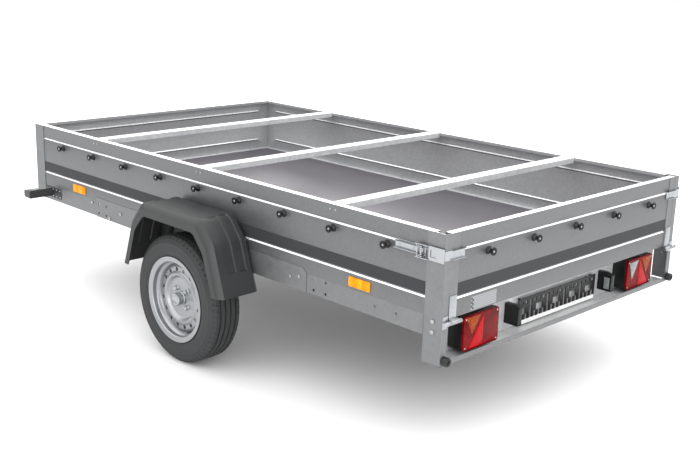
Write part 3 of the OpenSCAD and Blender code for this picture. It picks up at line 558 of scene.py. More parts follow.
def copied(piece: Piece, name: str, offset: Point = (0, 0, 0), mirrored: bool = False,
           turn: float = 0.0, about: Point = (0, 0, 0)) -> Piece:
    """Copies a piece with its own mesh.

    Args:
        piece: The piece to copy.
        name: The copy's name.
        offset: How far the copy is moved.
        mirrored: Whether the copy is mirrored across the trailer.
        turn: How far it is turned about the Y direction, in radians.
        about: The point that it turns about.

    Returns:
        The copy.
    """
    twin = piece.copy()
    twin.data = piece.data.copy()
    twin.name = twin.data.name = name
    bpy.context.collection.objects.link(twin)
    with editing(twin):
        if turn:
            bpy.ops.transform.rotate(value=-turn, orient_axis="Y", center_override=about)
        if any(offset):
            bpy.ops.transform.translate(value=offset)
        if mirrored:
            mirror_across()
    return twin


def joined(pieces: Sequence[Piece], name: str) -> Piece:
    """Joins pieces into one mesh."""
    activate(pieces[0])
    for piece in pieces:
        piece.select_set(True)
    bpy.ops.object.join()
    result = bpy.context.object
    result.name = result.data.name = name
    return result


def repeated(piece: Piece, name: str, offsets: Sequence[Point]) -> Piece:
    """Copies a piece to each offset, joins the copies, and drops the first."""
    copies = [copied(piece, f"{name}_{i}", offset) for i, offset in enumerate(offsets)]
    bpy.data.objects.remove(piece)
    return joined(copies, name)


def with_mirror(piece: Piece) -> Piece:
    """Adds the other side's copy to a piece's own mesh."""
    return joined([piece, copied(piece, piece.name + "_twin", mirrored=True)], piece.name)


def from_node(name: str, node: str, width: float = 0.0, segments: int = 1) -> Piece:
    """Copies a CAD node's mesh, merges it, and rounds its edges.

    Args:
        name: The new piece's name.
        node: The CAD node.
        width: The bevel's width in metres, or 0 for none.
        segments: The bevel's segments.

    Returns:
        The piece, which still has to replace the node.
    """
    piece = bpy.data.objects.new(name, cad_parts[node].data.copy())
    piece.data.name = name
    bpy.context.collection.objects.link(piece)
    activate(piece)
    bpy.ops.mesh.customdata_custom_splitnormals_clear()
    with editing(piece):
        bpy.ops.mesh.remove_doubles(threshold=MM / 100)
        bpy.ops.mesh.dissolve_limited(angle_limit=math.radians(0.5))
    if width:
        round_edges(piece, width, segments)
    return piece


def hand_over(piece: Piece, finish: Finish, body: str, *nodes: str) -> Piece:
    """Gives a piece its finish and its body.

    Args:
        piece: The finished shape.
        finish: Its finish.
        body: The CAD body that it rides on.
        nodes: The CAD nodes that it stands for.

    Returns:
        The piece.
    """
    activate(piece)
    bpy.ops.object.shade_smooth_by_angle(angle=SMOOTH_ANGLE)
    piece.data.materials.clear()
    piece.data.materials.append(finish.material())
    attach(piece, body)
    if nodes:
        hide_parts(*nodes)
    LOG.info("%s: %d faces, on %s", piece.name, len(piece.data.polygons), body)
    return piece


def dress(name: str, node: str, finish: Finish, body: str, width: float = 0.0,
          segments: int = 1) -> Piece:
    """Rounds a copy of a node's own mesh and hands it over in that node's place."""
    return hand_over(from_node(name, node, width, segments), finish, body, node)


def paint_node(node: str, finish: Finish) -> None:
    """Gives a CAD node that keeps its shape a better finish."""
    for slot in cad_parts[node].material_slots:
        slot.material = finish.material()
    LOG.info("%s: painted", node)


def size_of(node: str) -> tuple[Vector, Vector, Vector]:
    """Returns a node's lowest corner, highest corner and middle."""
    low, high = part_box(node)
    return low, high, (low + high) / 2


def left_edge(node: str) -> float:
    """Returns the inner edge, along Y, of a node's half on the left side."""
    return min(v.co.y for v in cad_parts[node].data.vertices if v.co.y > 0)


# ---------------------------------------------------------------- sub-assemblies


class Side(Enum):
    """The two sides of the trailer, with their sign along Y."""

    left = 1
    right = -1


def paint_wall_light(piece: Piece) -> None:
    """Paints light onto a wall: paler zinc on its inner side for painted bounce light, and near-white
    zinc on all that faces up for a painted highlight.

    Args:
        piece: The handed-over sheet, with its own finish first.
    """
    piece.data.materials.append(BOUNCE_LIGHT_ZINC.material())
    piece.data.materials.append(HIGHLIGHT_ZINC.material())
    corners = [Vector(corner) for corner in piece.bound_box]
    inwards = size_of("floor_panel")[2] - sum(corners, Vector()) / len(corners)
    inwards.z = 0
    inwards.normalize()
    # Painted light: inner faces take the paler bounce-light zinc, upward faces the near-white highlight
    # zinc.
    for face in piece.data.polygons:
        if face.normal.dot(inwards) > 0.9:
            face.material_index = 1
        elif face.normal.z > 0.45:
            face.material_index = 2


@dataclass
class LoadBox:
    """The galvanised walls, posts, frame and bars."""

    sheet_bevel: float = 0.0006
    frame_bevel: float = 0.0009
    lip_depth: float = 0.004
    sheets: tuple[str, ...] = ("side_panel_left", "side_panel_right", "front_panel")
    frames: tuple[str, ...] = ("corner_posts", "side_rail_left", "side_rail_right", "axle_plates")
    trims: tuple[str, ...] = ("cross_bars", "floor_strips")
    hidden: tuple[str, ...] = ("crossmembers", "axle_tube", "axle_brackets", "drawbar_nose")

    def build(self) -> None:
        """Rounds the folded sheet and the frame, and dresses them."""
        # Wall sheets: painted bounce light on their inner side and painted highlights on all that faces
        # up.
        for node in self.sheets:
            paint_wall_light(dress(node + "_sheet", node, SHEET_ZINC, "chassis", self.sheet_bevel))
        # The bars and floor strips take the pale zinc of painted light gathering on them.
        for finish, nodes in ((FRAME_ZINC, self.frames), (CHANNEL_LIGHT_ZINC, self.trims)):
            for node in nodes:
                dress(node + "_steel", node, finish, "chassis", self.frame_bevel)
        for node in self.hidden:
            paint_node(node, FRAME_ZINC)
        self.beam()

    def beam(self) -> None:
        """Builds the rear beam, with paler zinc inside its channel as painted light."""
        beam = dress("rear_beam_steel", "rear_beam", FRAME_ZINC, "chassis", self.frame_bevel)
        beam.data.materials.append(CHANNEL_LIGHT_ZINC.material())
        low, high, _ = size_of("rear_beam")
        inside = [face for face in beam.data.polygons
                  if face.center.x > low.x + self.lip_depth
                  and (face.normal.x < -0.9 or abs(face.normal.z) > 0.9)
                  and low.z + MM < face.center.z < high.z - MM]
        # Painted light: the channel's inner faces take the pale zinc that stands in for light gathering
        # there.
        for face in inside:
            face.material_index = 1


@dataclass
class Floor:
    """The plywood floor and the bolts that hold its edge strips."""

    bolt_r: float = 6.0
    bolt_pitch: float = 0.24
    bolt_inset: float = 0.014
    first_bolt: float = 0.12
    row_ends: float = 0.2
    front_end: float = 0.15
    front_count: int = 6
    edge_bevel: float = 0.0012

    def build(self) -> None:
        """Builds the board and its rows of bolts."""
        dress("floor_board", "floor_panel", PLYWOOD, "chassis", self.edge_bevel)
        low, high, _ = size_of("floor_strips")
        inset = self.bolt_inset
        head = turned("floor_bolt", [(0, 3.2), (2.6, 3.0), (4.6, 2.1), (self.bolt_r, 0.4),
                                     (self.bolt_r, 0), (0, 0)],
                      (low.x + self.first_bolt, high.y - inset, high.z), Axis.Z, 12)
        count = int((high.x - low.x - self.row_ends) / self.bolt_pitch)
        spots = [(i * self.bolt_pitch, 0, 0) for i in range(count)]
        spots += [(x, 2 * inset - high.y + low.y, 0) for x, _, _ in spots]
        front_x = high.x - inset - low.x - self.first_bolt
        gap = (high.y - low.y - 2 * self.front_end) / (self.front_count - 1)
        spots += [(front_x, inset - self.front_end - i * gap, 0) for i in range(self.front_count)]
        hand_over(repeated(head, "floor_bolts", spots), BRIGHT_ZINC, "chassis")


@dataclass
class Wheel:
    """One wheel: tyre, rim, hub and bolts, built on the left and mirrored for the right."""

    vent_count: int = 16
    vent_r: float = 8.4
    vent_at: float = 125.0
    bolt_at: float = 50.0
    tyre_steps: int = 132
    sipe_depth: float = 0.003
    tread: tuple[tuple[float, float], ...] = (
        (164.6, 46), (164.6, 61.5), (185.5, 68.5), (188.5, 71.2), (192.5, 72.2), (195, 74.6),
        (203, 77.2), (214, 78.3), (228, 78.4), (238, 77.6), (240, 78.3), (243, 78.1), (244.5, 76.6),
        (252, 73), (258.5, 68.5), (264.5, 64.2), (269, 60.2), (271.6, 57), (272.6, 53.5),
        (272.9, 41.8), (266, 41), (266, 35), (273.2, 34.2), (273.4, 16.8), (266.4, 16),
        (266.4, 10), (273.5, 9.2))
    liner: tuple[tuple[float, float], ...] = ((259.5, 44), (250, 60), (200, 64), (186, 56))
    barrel: tuple[tuple[float, float], ...] = (
        (183.5, 73.5), (183.5, 70.5), (179.5, 69.5), (166.5, 67.5), (164.5, 64), (164.5, 47),
        (160, 42), (153, 38), (150, 30), (147.5, 24), (147.5, -36), (164.5, -46), (164.5, -66),
        (179.5, -70), (183.5, -70.5), (183.5, -73.5), (177.5, -73.5), (160.5, -69.5),
        (160.5, -47), (143.5, -38), (143.5, 25), (146.5, 32), (150, 40.5), (157, 45),
        (160.5, 49.5), (160.5, 67), (163, 70), (175, 72), (178.5, 73.5))
    disc: tuple[tuple[float, float], ...] = (
        (144.5, 19), (144.5, 30), (138, 36.6), (132, 38.3), (120, 38.3), (115.5, 39.6),
        (112, 43), (108, 45.6), (103, 46.4), (98.5, 45), (94.5, 40.5), (90.5, 34),
        (87, 30.8), (82, 30), (42, 30), (37, 31.4), (30.5, 31.4), (30.5, 27), (81, 26),
        (88, 27.2), (93, 31), (99, 40), (103, 42.2), (107, 41.4), (112, 35.6), (118, 34.2),
        (131, 34.2), (136, 32.6), (140, 27))

    def build(self) -> None:
        """Builds the four pieces on the left, then their mirrored copies."""
        _, _, hub = size_of("tyre_left")
        for side in Side:
            parts = ((self.tyre(hub), TYRE_RUBBER, "tyre"), (self.rim(hub), RIM_PAINT, "rim"),
                     (self.hub(hub), BRIGHT_ZINC, "hub"), (self.bolts(hub), BRIGHT_ZINC, "wheel_bolts"))
            for piece, finish, node in parts:
                if side is Side.right:
                    with editing(piece):
                        mirror_across()
                piece.name = piece.data.name = f"{node}_{side.name}_turned"
                hand_over(piece, finish, f"wheel_{side.name}", f"{node}_{side.name}")

    def tyre(self, hub: Vector) -> Piece:
        """Returns the tyre with its grooves, shoulder sipes and valve."""
        tyre = turned("tyre", self._tyre_loop(), hub, Axis.Y, self.tyre_steps, closed=True)
        step = math.tau / self.tyre_steps

        def in_sipe(face: bmesh.types.BMFace) -> bool:
            """Says whether a shoulder face becomes a sipe."""
            spot = middle(face) - hub
            radius = math.hypot(spot.x, spot.z)
            column = round(math.atan2(spot.z, spot.x) / step - 0.5)
            return (column % 2 == 0 and radius > 0.2605 and 0.0425 < abs(spot.y) < 0.0665
                    and (face.normal.x * spot.x + face.normal.z * spot.z) > 0)

        with editing(tyre):
            pick(tyre, Kind.FACE, in_sipe)
            bpy.ops.mesh.inset(thickness=0.0034, depth=-self.sipe_depth)
        valve = turned("valve", [(0, 0), (4, 0), (4, 8), (3.2, 9), (3.2, 22), (2.6, 23),
                                 (2.6, 34), (3.1, 35), (3.1, 43), (2.2, 45), (0, 45)],
                       hub + Vector((-0.0872, 0.027, -0.1245)), Axis.Y, 12)
        return joined([tyre, valve], "tyre")

    def _tyre_loop(self) -> list[tuple[float, float]]:
        """Returns the closed outline of the tyre's section."""
        outer = list(self.tread) + [(r, -a) for r, a in reversed(self.tread)]
        inner = [(r, -a) for r, a in reversed(self.liner)] + list(self.liner)
        return outer + inner

    def rim(self, hub: Vector) -> Piece:
        """Returns the pressed rim with its ring of vents."""
        barrel = turned("barrel", self.barrel, hub, Axis.Y, 96, closed=True)
        disc = turned("disc", self.disc, hub, Axis.Y, 96, closed=True)
        first = turned("vent", [(0, 15), (self.vent_r, 15), (self.vent_r, 37), (self.vent_r + 1.6, 41),
                                (self.vent_r + 1.6, 60), (0, 60)],
                       hub + Vector((self.vent_at * MM, 0, 0)), Axis.Y, 20)
        step = math.tau / self.vent_count
        vents = [copied(first, f"vent_{i}", turn=(i + 0.5) * step, about=hub)
                 for i in range(self.vent_count)]
        bpy.data.objects.remove(first)
        cutter = joined(vents, "vents")
        apply_modifier(disc, "BOOLEAN", operation="DIFFERENCE", object=cutter, solver="EXACT")
        bpy.data.objects.remove(cutter)
        return joined([barrel, disc], "rim")

    def hub(self, hub: Vector) -> Piece:
        """Returns the hub with its flange and pressed grease cap."""
        face = Vector((0, 0.026, 0)) + hub
        drum = turned("drum", [(15.4, -62), (38, -62), (38, -14), (42, -12), (66, -12), (66, 0),
                               (29.5, 0), (29.5, 12.5), (28, 14), (26.5, 14), (26.5, 36),
                               (25.5, 38.6), (22.5, 40), (19, 40.2), (17, 39), (14.5, 37.6),
                               (8, 37), (0, 36.8)],
                      face, Axis.Y, 48)
        with editing(drum):
            bpy.ops.mesh.select_mode(type="EDGE")
            pick(drum, Kind.EDGE, lambda e: e.is_boundary)
            bpy.ops.mesh.extrude_region_move(TRANSFORM_OT_translate={"value": (0, 0.070, 0)})
            bpy.ops.mesh.merge(type="COLLAPSE")
            face_outwards()
        return drum

    def bolts(self, hub: Vector) -> Piece:
        """Returns the four wheel bolts with cone seats and hexagon heads."""
        face = hub + Vector((self.bolt_at * MM, 0.030, 0))
        bpy.ops.mesh.primitive_cylinder_add(vertices=6, radius=0.0098, depth=0.012,
                                            location=face + Vector((0, 0.008, 0)),
                                            rotation=(math.pi / 2, 0, 0))
        head = settle("bolt_head")
        with editing(head):
            inset_faces(head, Axis.Y, 1, (0.0016, 0.0012), (0.0030, -0.0006))
        round_edges(head, 0.0006)
        seat = turned("bolt_seat", [(0, -4), (5.8, -4), (5.8, 0), (11.5, 0.2), (11.5, 1.4),
                                    (10, 3.2), (0, 3.2)], face, Axis.Y, 20)
        first = joined([head, seat], "bolt")
        bolts = [copied(first, f"bolt_{i}", turn=math.radians(45 + 90 * i), about=hub)
                 for i in range(4)]
        bpy.data.objects.remove(first)
        return joined(bolts, "bolts")


@dataclass
class Mudguard:
    """One moulded mudguard with a flat top, sloped ends and an open arch."""

    wall: float = 0.004
    shoulder_in: float = 0.070
    shoulder_drop: float = 0.084
    flat_in: float = 0.145
    lip: float = 0.86
    corner_r: float = 0.016
    edge_r: float = 0.026
    groove_depth: float = 0.005
    groove_side: float = 0.004
    groove_over: float = 0.028
    groove_stop: float = 0.42
    groove_ys: tuple[float, ...] = (0.22, 0.40, 0.47, 0.68)

    def build(self) -> None:
        """Builds both mudguards."""
        left = self.shell()
        right = copied(left, "mudguard_right_moulding", mirrored=True)
        hand_over(left, GRAINED_PLASTIC, "chassis", "mudguard_left")
        hand_over(right, GRAINED_PLASTIC, "chassis", "mudguard_right")

    def shell(self) -> Piece:
        """Returns the left mudguard."""
        low, high, mid = size_of("mudguard_left")
        _, _, hub = size_of("tyre_left")
        half, top = (high.x - low.x) / 2, high.z
        rise = [(half, low.z), (half - self.shoulder_in, top - self.shoulder_drop),
                (half - self.flat_in, top)]
        outline = [(mid.x - x, z) for x, z in rise] + [(mid.x + x, z) for x, z in reversed(rise)]
        shell = chain("mudguard_left_moulding", [(x, low.y, z) for x, z in outline])
        width = high.y - low.y
        stops = [0.0, *self.groove_ys, 1.0]
        with editing(shell):
            pick(shell, Kind.VERT, lambda v: v.co.z > low.z + 0.01)
            bpy.ops.mesh.bevel(offset=self.corner_r, segments=3, affect="VERTICES")
            bpy.ops.mesh.select_all(action="SELECT")
            for start, stop in zip(stops, stops[1:]):
                reach = (0, (stop - start) * width, 0)
                bpy.ops.mesh.extrude_region_move(TRANSFORM_OT_translate={"value": reach})
            face_outwards()
            centre = Vector((mid.x, 0, hub.z))
            for y in (low.y, high.y):
                pick(shell, Kind.EDGE, lambda e: abs(middle(e).y - y) < MM / 10
                     and abs(e.verts[0].co.y - e.verts[1].co.y) < MM / 10)
                bpy.ops.mesh.extrude_region_move(TRANSFORM_OT_translate={"value": (0, 0, 0)})
                bpy.ops.transform.resize(value=(self.lip, 1, self.lip),
                                         center_override=(centre.x, y, centre.z))
            bpy.ops.mesh.select_all(action="SELECT")
            bpy.ops.mesh.bisect(plane_co=(0, 0, low.z), plane_no=(0, 0, 1), clear_inner=True,
                                threshold=MM / 100)
            face_outwards()
            self._round_rims(shell)
            self._press_grooves(shell, low, high)
        if self._faces_inwards(shell, mid):
            with editing(shell):
                bpy.ops.mesh.flip_normals()
        apply_modifier(shell, "SOLIDIFY", thickness=self.wall, offset=-1.0, use_even_offset=True)
        return shell

    def _round_rims(self, shell: Piece) -> None:
        """Bevels the edges between the cover and its two side lips."""

        def on_rim(edge: bmesh.types.BMEdge) -> bool:
            """Says whether an edge joins the cover to a lip."""
            if len(edge.link_faces) != 2:
                return False
            flat = sorted(abs(face.normal.y) for face in edge.link_faces)
            return flat[0] < 0.2 and flat[1] > 0.8

        pick(shell, Kind.EDGE, on_rim)
        bpy.ops.mesh.bevel(offset=self.edge_r, segments=3, profile=0.32, affect="EDGES")

    def _press_grooves(self, shell: Piece, low: Vector, high: Vector) -> None:
        """Sinks the narrow bands that run over the cover."""
        width = high.y - low.y
        bands = list(zip(self.groove_ys[0::2], self.groove_ys[1::2]))
        mid_x, half = (low.x + high.x) / 2, (high.x - low.x) / 2
        foot = low.z + self.groove_stop * (high.z - self.shoulder_drop - low.z)
        start = half - self.flat_in - self.groove_over
        for place, way in (((0, 0, foot), (0, 0, 1)), ((mid_x - start, 0, 0), (1, 0, 0)),
                           ((mid_x + start, 0, 0), (1, 0, 0))):
            bpy.ops.mesh.select_all(action="SELECT")
            bpy.ops.mesh.bisect(plane_co=place, plane_no=way, threshold=MM / 100)

        def in_band(face: bmesh.types.BMFace) -> bool:
            """Says whether a face of the cover lies in a groove."""
            spot = middle(face)
            share = (spot.y - low.y) / width
            return (abs(face.normal.y) < 0.2 and any(a < share < b for a, b in bands)
                    and spot.z > foot and abs(spot.x - mid_x) > start)

        pick(shell, Kind.FACE, in_band)
        bpy.ops.mesh.inset(thickness=self.groove_side, depth=-self.groove_depth)

    def _faces_inwards(self, shell: Piece, mid: Vector) -> bool:
        """Says whether the cover's top faces point down."""
        tops = [f for f in shell.data.polygons if abs(f.normal.z) > 0.9 and f.center.z > mid.z]
        return sum(f.normal.z * f.area for f in tops) < 0


@dataclass
class Buttons:
    """The black tarpaulin buttons, each with a bright screw in its head."""

    side_count: int = 9
    gate_count: int = 5
    spool: tuple[tuple[float, float], ...] = (
        (0, 0), (14, 0), (14.9, 1), (14.9, 2.6), (13.5, 5.2), (10, 8), (7.8, 11), (7.2, 14),
        (7.6, 17), (9.4, 19.6), (12.8, 21.4), (14.6, 22.6), (14.9, 24.6), (14.2, 27),
        (12.6, 28), (9, 28), (7.6, 27), (7, 25.4), (0, 25.4))
    screw: tuple[tuple[float, float], ...] = (
        (0, 25), (4.4, 25), (4.4, 26), (3.6, 27.2), (2.2, 27.7), (1.5, 27.7), (1.1, 26.8), (0, 26.6))

    def build(self) -> None:
        """Builds the rows on both sides and on the tailgate."""
        low, high, mid = size_of("tarp_buttons")
        radius = (high.z - low.z) / 2
        first = Vector((low.x + radius, high.y - 28 * MM, mid.z))
        pitch = (high.x - low.x - 2 * radius) / (self.side_count - 1)
        steps = [(i * pitch, 0, 0) for i in range(self.side_count)]
        for profile, name, finish, nodes in (
                (self.spool, "side_buttons", GLOSS_PLASTIC, ("tarp_buttons",)),
                (self.screw, "side_button_screws", BRIGHT_ZINC, ())):
            row = repeated(turned(name, profile, first, Axis.Y, 24), name, steps)
            hand_over(with_mirror(row), finish, "chassis", *nodes)
        low, high, mid = size_of("tailgate_buttons")
        first = Vector((high.x, low.y + radius, mid.z))
        pitch = (high.y - low.y - 2 * radius) / (self.gate_count - 1)
        steps = [(0, i * pitch, 0) for i in range(self.gate_count)]
        for profile, name, finish, nodes in (
                (self.spool, "gate_buttons", GLOSS_PLASTIC, ("tailgate_buttons",)),
                (self.screw, "gate_button_screws", BRIGHT_ZINC, ())):
            back = [(r, -a) for r, a in profile]
            row = repeated(turned(name, back, first, Axis.X, 24), name, steps)
            hand_over(row, finish, "tailgate", *nodes)


@dataclass
class Tailgate:
    """The hinged rear wall with its end caps, hinges, keepers, stripe and label."""

    bevel: float = 0.0006
    check_size: float = 0.0072
    check_rows: int = 6
    check_foot: float = 0.003
    strap_wall: float = 0.003
    strap_inset: float = 0.021
    strap_drop: float = 0.012
    keeper_y: float = 0.700
    rivet_pitch: float = 0.030
    rivet: tuple[tuple[float, float], ...] = ((0, 2.2), (2.2, 1.8), (3.6, 0.6), (3.8, 0), (0, 0))

    def build(self) -> None:
        """Builds the gate's pieces."""
        # The gate's sheet: painted bounce light on its inner side and painted highlights on all that
        # faces up.
        paint_wall_light(dress("tailgate_sheet", "tailgate_panel", SHEET_ZINC, "tailgate", self.bevel))
        dress("tailgate_end_caps", "tailgate_ends", FRAME_ZINC, "tailgate", self.bevel)
        dress("hinge_strap_pair", "hinge_straps", BRIGHT_ZINC, "tailgate", 0.0008, 2)
        dress("keeper_pair", "latch_keepers", BRIGHT_ZINC, "tailgate", 0.0006)
        dress("tailgate_tape", "tailgate_stripe", VINYL, "tailgate")
        self.label()
        self.rivets()

    def label(self) -> None:
        """Builds the foil label and the row of printed squares at its outer edge."""
        low, high, _ = size_of("rating_label")
        foil = block("rating_foil", low, high)
        with editing(foil):
            inset_faces(foil, Axis.X, -1, (0.002, -0.0001))
        round_edges(foil, 0.0001, 1)
        hand_over(foil, FOIL, "tailgate", "rating_label")
        size, foot = self.check_size, low.z + self.check_foot
        first = block("check", (low.x - 0.0001, high.y - 2.2 * size, foot),
                      (low.x + 0.0002, high.y - 1.2 * size, foot + size))
        round_edges(first, 0.00005, 1)
        squares = [(0, (row % 2) * size, row * size) for row in range(self.check_rows)]
        hand_over(repeated(first, "label_squares", squares), BLACK_INK, "tailgate")

    def rivets(self) -> None:
        """Adds the rivets of the hinge straps and keepers."""
        _, high, _ = size_of("hinge_straps")
        _, _, keeper = size_of("latch_keepers")
        back = [(r, -a) for r, a in self.rivet]
        x = high.x - self.strap_wall
        strap = (x, high.y - self.strap_inset, high.z - self.strap_drop)
        for name, place, step in (("strap", strap, (0, 0, -self.rivet_pitch)),
                                  ("keeper", (x, self.keeper_y, keeper.z), (0, self.rivet_pitch, 0))):
            first = turned(f"{name}_rivet", back, place, Axis.X, 12)
            row = repeated(first, f"{name}_rivets", [(0, 0, 0), step])
            hand_over(with_mirror(row), BRIGHT_ZINC, "tailgate")


@dataclass
class Latches:
    """The corner latches: base channel, lever and link on each side."""

    bevel: float = 0.0006

    def build(self) -> None:
        """Rounds and dresses the latch pieces."""
        dress("latch_channels", "latch_bases", BRIGHT_ZINC, "chassis", self.bevel)
        dress("hinge_bracket_pair", "hinge_brackets", BRIGHT_ZINC, "chassis", 0.0008, 2)
        for side in Side:
            for part in ("latch_lever", "latch_link"):
                node = f"{part}_{side.name}"
                dress(node + "_pressing", node, BRIGHT_ZINC, node, self.bevel)


@dataclass
class RearLamps:
    """The pair of rear lamps: black housings, red lenses and their coloured fields."""

    field_depth: float = 0.0012
    field_wall: float = 0.0025
    glass_in: float = 0.0016
    corner_r: float = 0.010
    screw_in: float = 0.011

    def build(self) -> None:
        """Builds housings, lenses, fields and corner screws."""
        self.low, self.high, _ = size_of("lamp_housings")
        self.front = size_of("red_lenses")[0].x + self.glass_in
        self.inner = left_edge("lamp_housings")
        housing = block("lamp_housing", (self.low.x, self.inner, self.low.z), self.high)
        with editing(housing):
            round_corners(housing, Axis.X, self.corner_r, 4)
            inset_faces(housing, Axis.X, -1, (0.003, 0.0), (0.002, -0.002))
        round_edges(housing, 0.0008)
        hand_over(with_mirror(housing), GLOSS_PLASTIC, "chassis", "lamp_housings")
        whole = ((0, 0), (1, 0), (1, 1), (0, 1))
        glass = [self.plate(f"lamp_glass_{side.name}", side, whole, 0.0, True) for side in Side]
        hand_over(joined(glass, "lamp_glass"), RED_LENS, "chassis", "red_lenses", "amber_lenses")
        self.fields()
        self.screws()

    def plate(self, name: str, side: Side, corners: Sequence[tuple[float, float]],
              proud: float, rounded: bool = False) -> Piece:
        """Returns a flat piece of lens.

        Args:
            name: The piece's name.
            side: The lamp's side.
            corners: Shares of the lamp's width from its left edge as seen from behind, and of
                its height from below.
            proud: How far it stands in front of the lens.
            rounded: Whether it is the whole lens with rounded corners.

        Returns:
            The piece.
        """
        edges = (self.high.y, self.inner)
        left, right = edges if side is Side.left else (-edges[1], -edges[0])
        x0 = self.front - proud
        depth = self.low.x - x0 if rounded else self.field_wall
        outline = [(x0, left + u * (right - left), self.low.z + v * (self.high.z - self.low.z))
                   for u, v in corners]
        piece = extruded(name, outline, (depth, 0, 0))
        if rounded:
            with editing(piece):
                round_corners(piece, Axis.X, self.corner_r, 4)
        round_edges(piece, 0.0018 if rounded else 0.0005, 2)
        return piece

    def fields(self) -> None:
        """Builds the reflex triangle and the amber field of both lamps, and the clear field of the
        right lamp.
        """
        for name, finish, left, right in (
                ("amber", AMBER_LENS, ((0.06, 0.95), (0.46, 0.95), (0.23, 0.45)),
                 ((0.94, 0.95), (0.54, 0.95), (0.77, 0.40))),
                ("reflex", BRIGHT_RED_LENS, ((0.54, 0.93), (0.54, 0.05), (0.15, 0.05)),
                 ((0.46, 0.93), (0.46, 0.05), (0.85, 0.05)))):
            pair = [self.plate(f"{name}_left", Side.left, left, self.field_depth),
                    self.plate(f"{name}_right", Side.right, right, self.field_depth)]
            hand_over(joined(pair, f"{name}_fields"), finish, "chassis")
        clear = ((0.07, 0.90), (0.42, 0.93), (0.20, 0.32))
        hand_over(self.plate("reversing_field", Side.right, clear, self.field_depth), CLEAR_LENS,
                  "chassis")

    def screws(self) -> None:
        """Adds the four screws of each lens."""
        inner = self.inner + self.screw_in
        outer = self.high.y - self.screw_in
        bottom, top = self.low.z + self.screw_in, self.high.z - self.screw_in
        head = turned("lens_screw", [(0, -1.2), (2.4, -0.9), (3.4, 0), (3.4, 1.0), (0, 1.0)],
                      (self.front, inner, bottom), Axis.X, 12)
        spots = [(0, y, z) for y in (0, outer - inner) for z in (0, top - bottom)]
        hand_over(with_mirror(repeated(head, "lens_screws", spots)), BRIGHT_ZINC, "chassis")


@dataclass
class PlateGroup:
    """The open-grid number-plate holder with its white strip, and the two plate lamps."""

    columns: int = 37
    rows: int = 8
    beat: int = 8
    wall: float = 0.004
    strip_h: float = 0.017
    strip_in: float = 0.004
    strip_back: float = 0.003
    slope_run: float = 0.028
    slope_rise: float = 0.010
    window_in: float = 0.008
    window_foot: float = 0.010
    window_head: float = 0.020
    window_proud: float = 0.0004
    window_back: float = 0.002

    def build(self) -> None:
        """Builds the holder, its strip and the lamps."""
        low, high, _ = size_of("plate_holder")
        self.grid(low, high)
        strip = block("plate_strip", (low.x - MM, low.y + self.strip_in, low.z + MM),
                      (low.x + self.strip_back, high.y - self.strip_in, low.z + self.strip_h))
        with editing(strip):
            inset_faces(strip, Axis.X, -1, (0.0015, -0.0004))
        round_edges(strip, 0.0003)
        hand_over(strip, WHITE_FILM, "chassis")
        self.lamps()

    def grid(self, low: Vector, high: Vector) -> None:
        """Builds the grid: a plate whose openings follow a repeating rule."""
        size = (high.z - low.z, high.y - low.y)
        bpy.ops.mesh.primitive_grid_add(
            x_subdivisions=self.rows, y_subdivisions=self.columns, size=1)
        grid = settle("plate_grid")
        with editing(grid):
            bpy.ops.transform.resize(value=(size[0], size[1], 1), center_override=(0, 0, 0))
            bpy.ops.transform.rotate(value=math.pi / 2, orient_axis="Y", center_override=(0, 0, 0))
            bpy.ops.transform.translate(
                value=(low.x + self.wall / 2, (low.y + high.y) / 2, (low.z + high.z) / 2))
        cell_y, cell_z = size[1] / self.columns, size[0] / self.rows

        def is_open(face: bmesh.types.BMFace) -> bool:
            """Says whether a cell of the grid is left open."""
            spot = middle(face)
            column = int((spot.y - low.y) / cell_y)
            row = int((spot.z - low.z) / cell_z)
            beat = (column - 2) % self.beat
            if column in (0, self.columns - 1) or row in (0, self.rows - 1):
                return False
            if row in (3, 4):
                return beat in (0, 1, 2, 5)
            if row == 5:
                return beat == 5
            return column % 2 == 1

        with editing(grid):
            pick(grid, Kind.FACE, is_open)
            bpy.ops.mesh.delete(type="FACE")
            bpy.ops.mesh.select_mode(type="VERT")
            bpy.ops.mesh.select_all(action="SELECT")
        apply_modifier(grid, "SOLIDIFY", thickness=self.wall, offset=0.0)
        round_edges(grid, 0.0007, 1)
        legs = from_node("plate_legs", "plate_holder")
        with editing(legs):
            bpy.ops.mesh.bisect(plane_co=(high.x, 0, 0), plane_no=(1, 0, 0), threshold=MM / 100)
            pick(legs, Kind.FACE, lambda f: middle(f).x < low.x + 0.0051)
            bpy.ops.mesh.delete(type="FACE")
        hand_over(joined([grid, legs], "plate_holder_grid"), GLOSS_PLASTIC, "chassis",
                  "plate_holder")

    def lamps(self) -> None:
        """Builds the two plate lamps with slanted tops, ribs and clear windows."""
        low, high, mid = size_of("plate_lamps")
        inner = left_edge("plate_lamps")
        outline = [(low.x, inner, low.z), (high.x, inner, low.z), (high.x, inner, high.z),
                   (low.x + self.slope_run, inner, high.z),
                   (low.x, inner, high.z - self.slope_rise)]
        body = extruded("plate_lamp", outline, (0, high.y - inner, 0))
        with editing(body):
            for way in (-1, 1):
                inset_faces(body, Axis.Y, way, (0.005, -0.0015))
        round_edges(body, 0.0016, 2)
        hand_over(self.pair(body, mid.y), GLOSS_PLASTIC, "chassis", "plate_lamps")
        window = block(
            "plate_lamp_window",
            (low.x + self.window_in, inner - self.window_proud, low.z + self.window_foot),
            (mid.x, inner + self.window_back, high.z - self.window_head))
        with editing(window):
            inset_faces(window, Axis.Y, -1, (0.003, 0.0008))
        round_edges(window, 0.0003)
        hand_over(self.pair(window, mid.y), CLEAR_LENS, "chassis")

    def pair(self, piece: Piece, centre_y: float) -> Piece:
        """Adds the copy on the plate's other side to a piece's own mesh."""
        twin = copied(piece, piece.name + "_twin", (0, -2 * centre_y, 0), mirrored=True)
        return joined([piece, twin], piece.name)


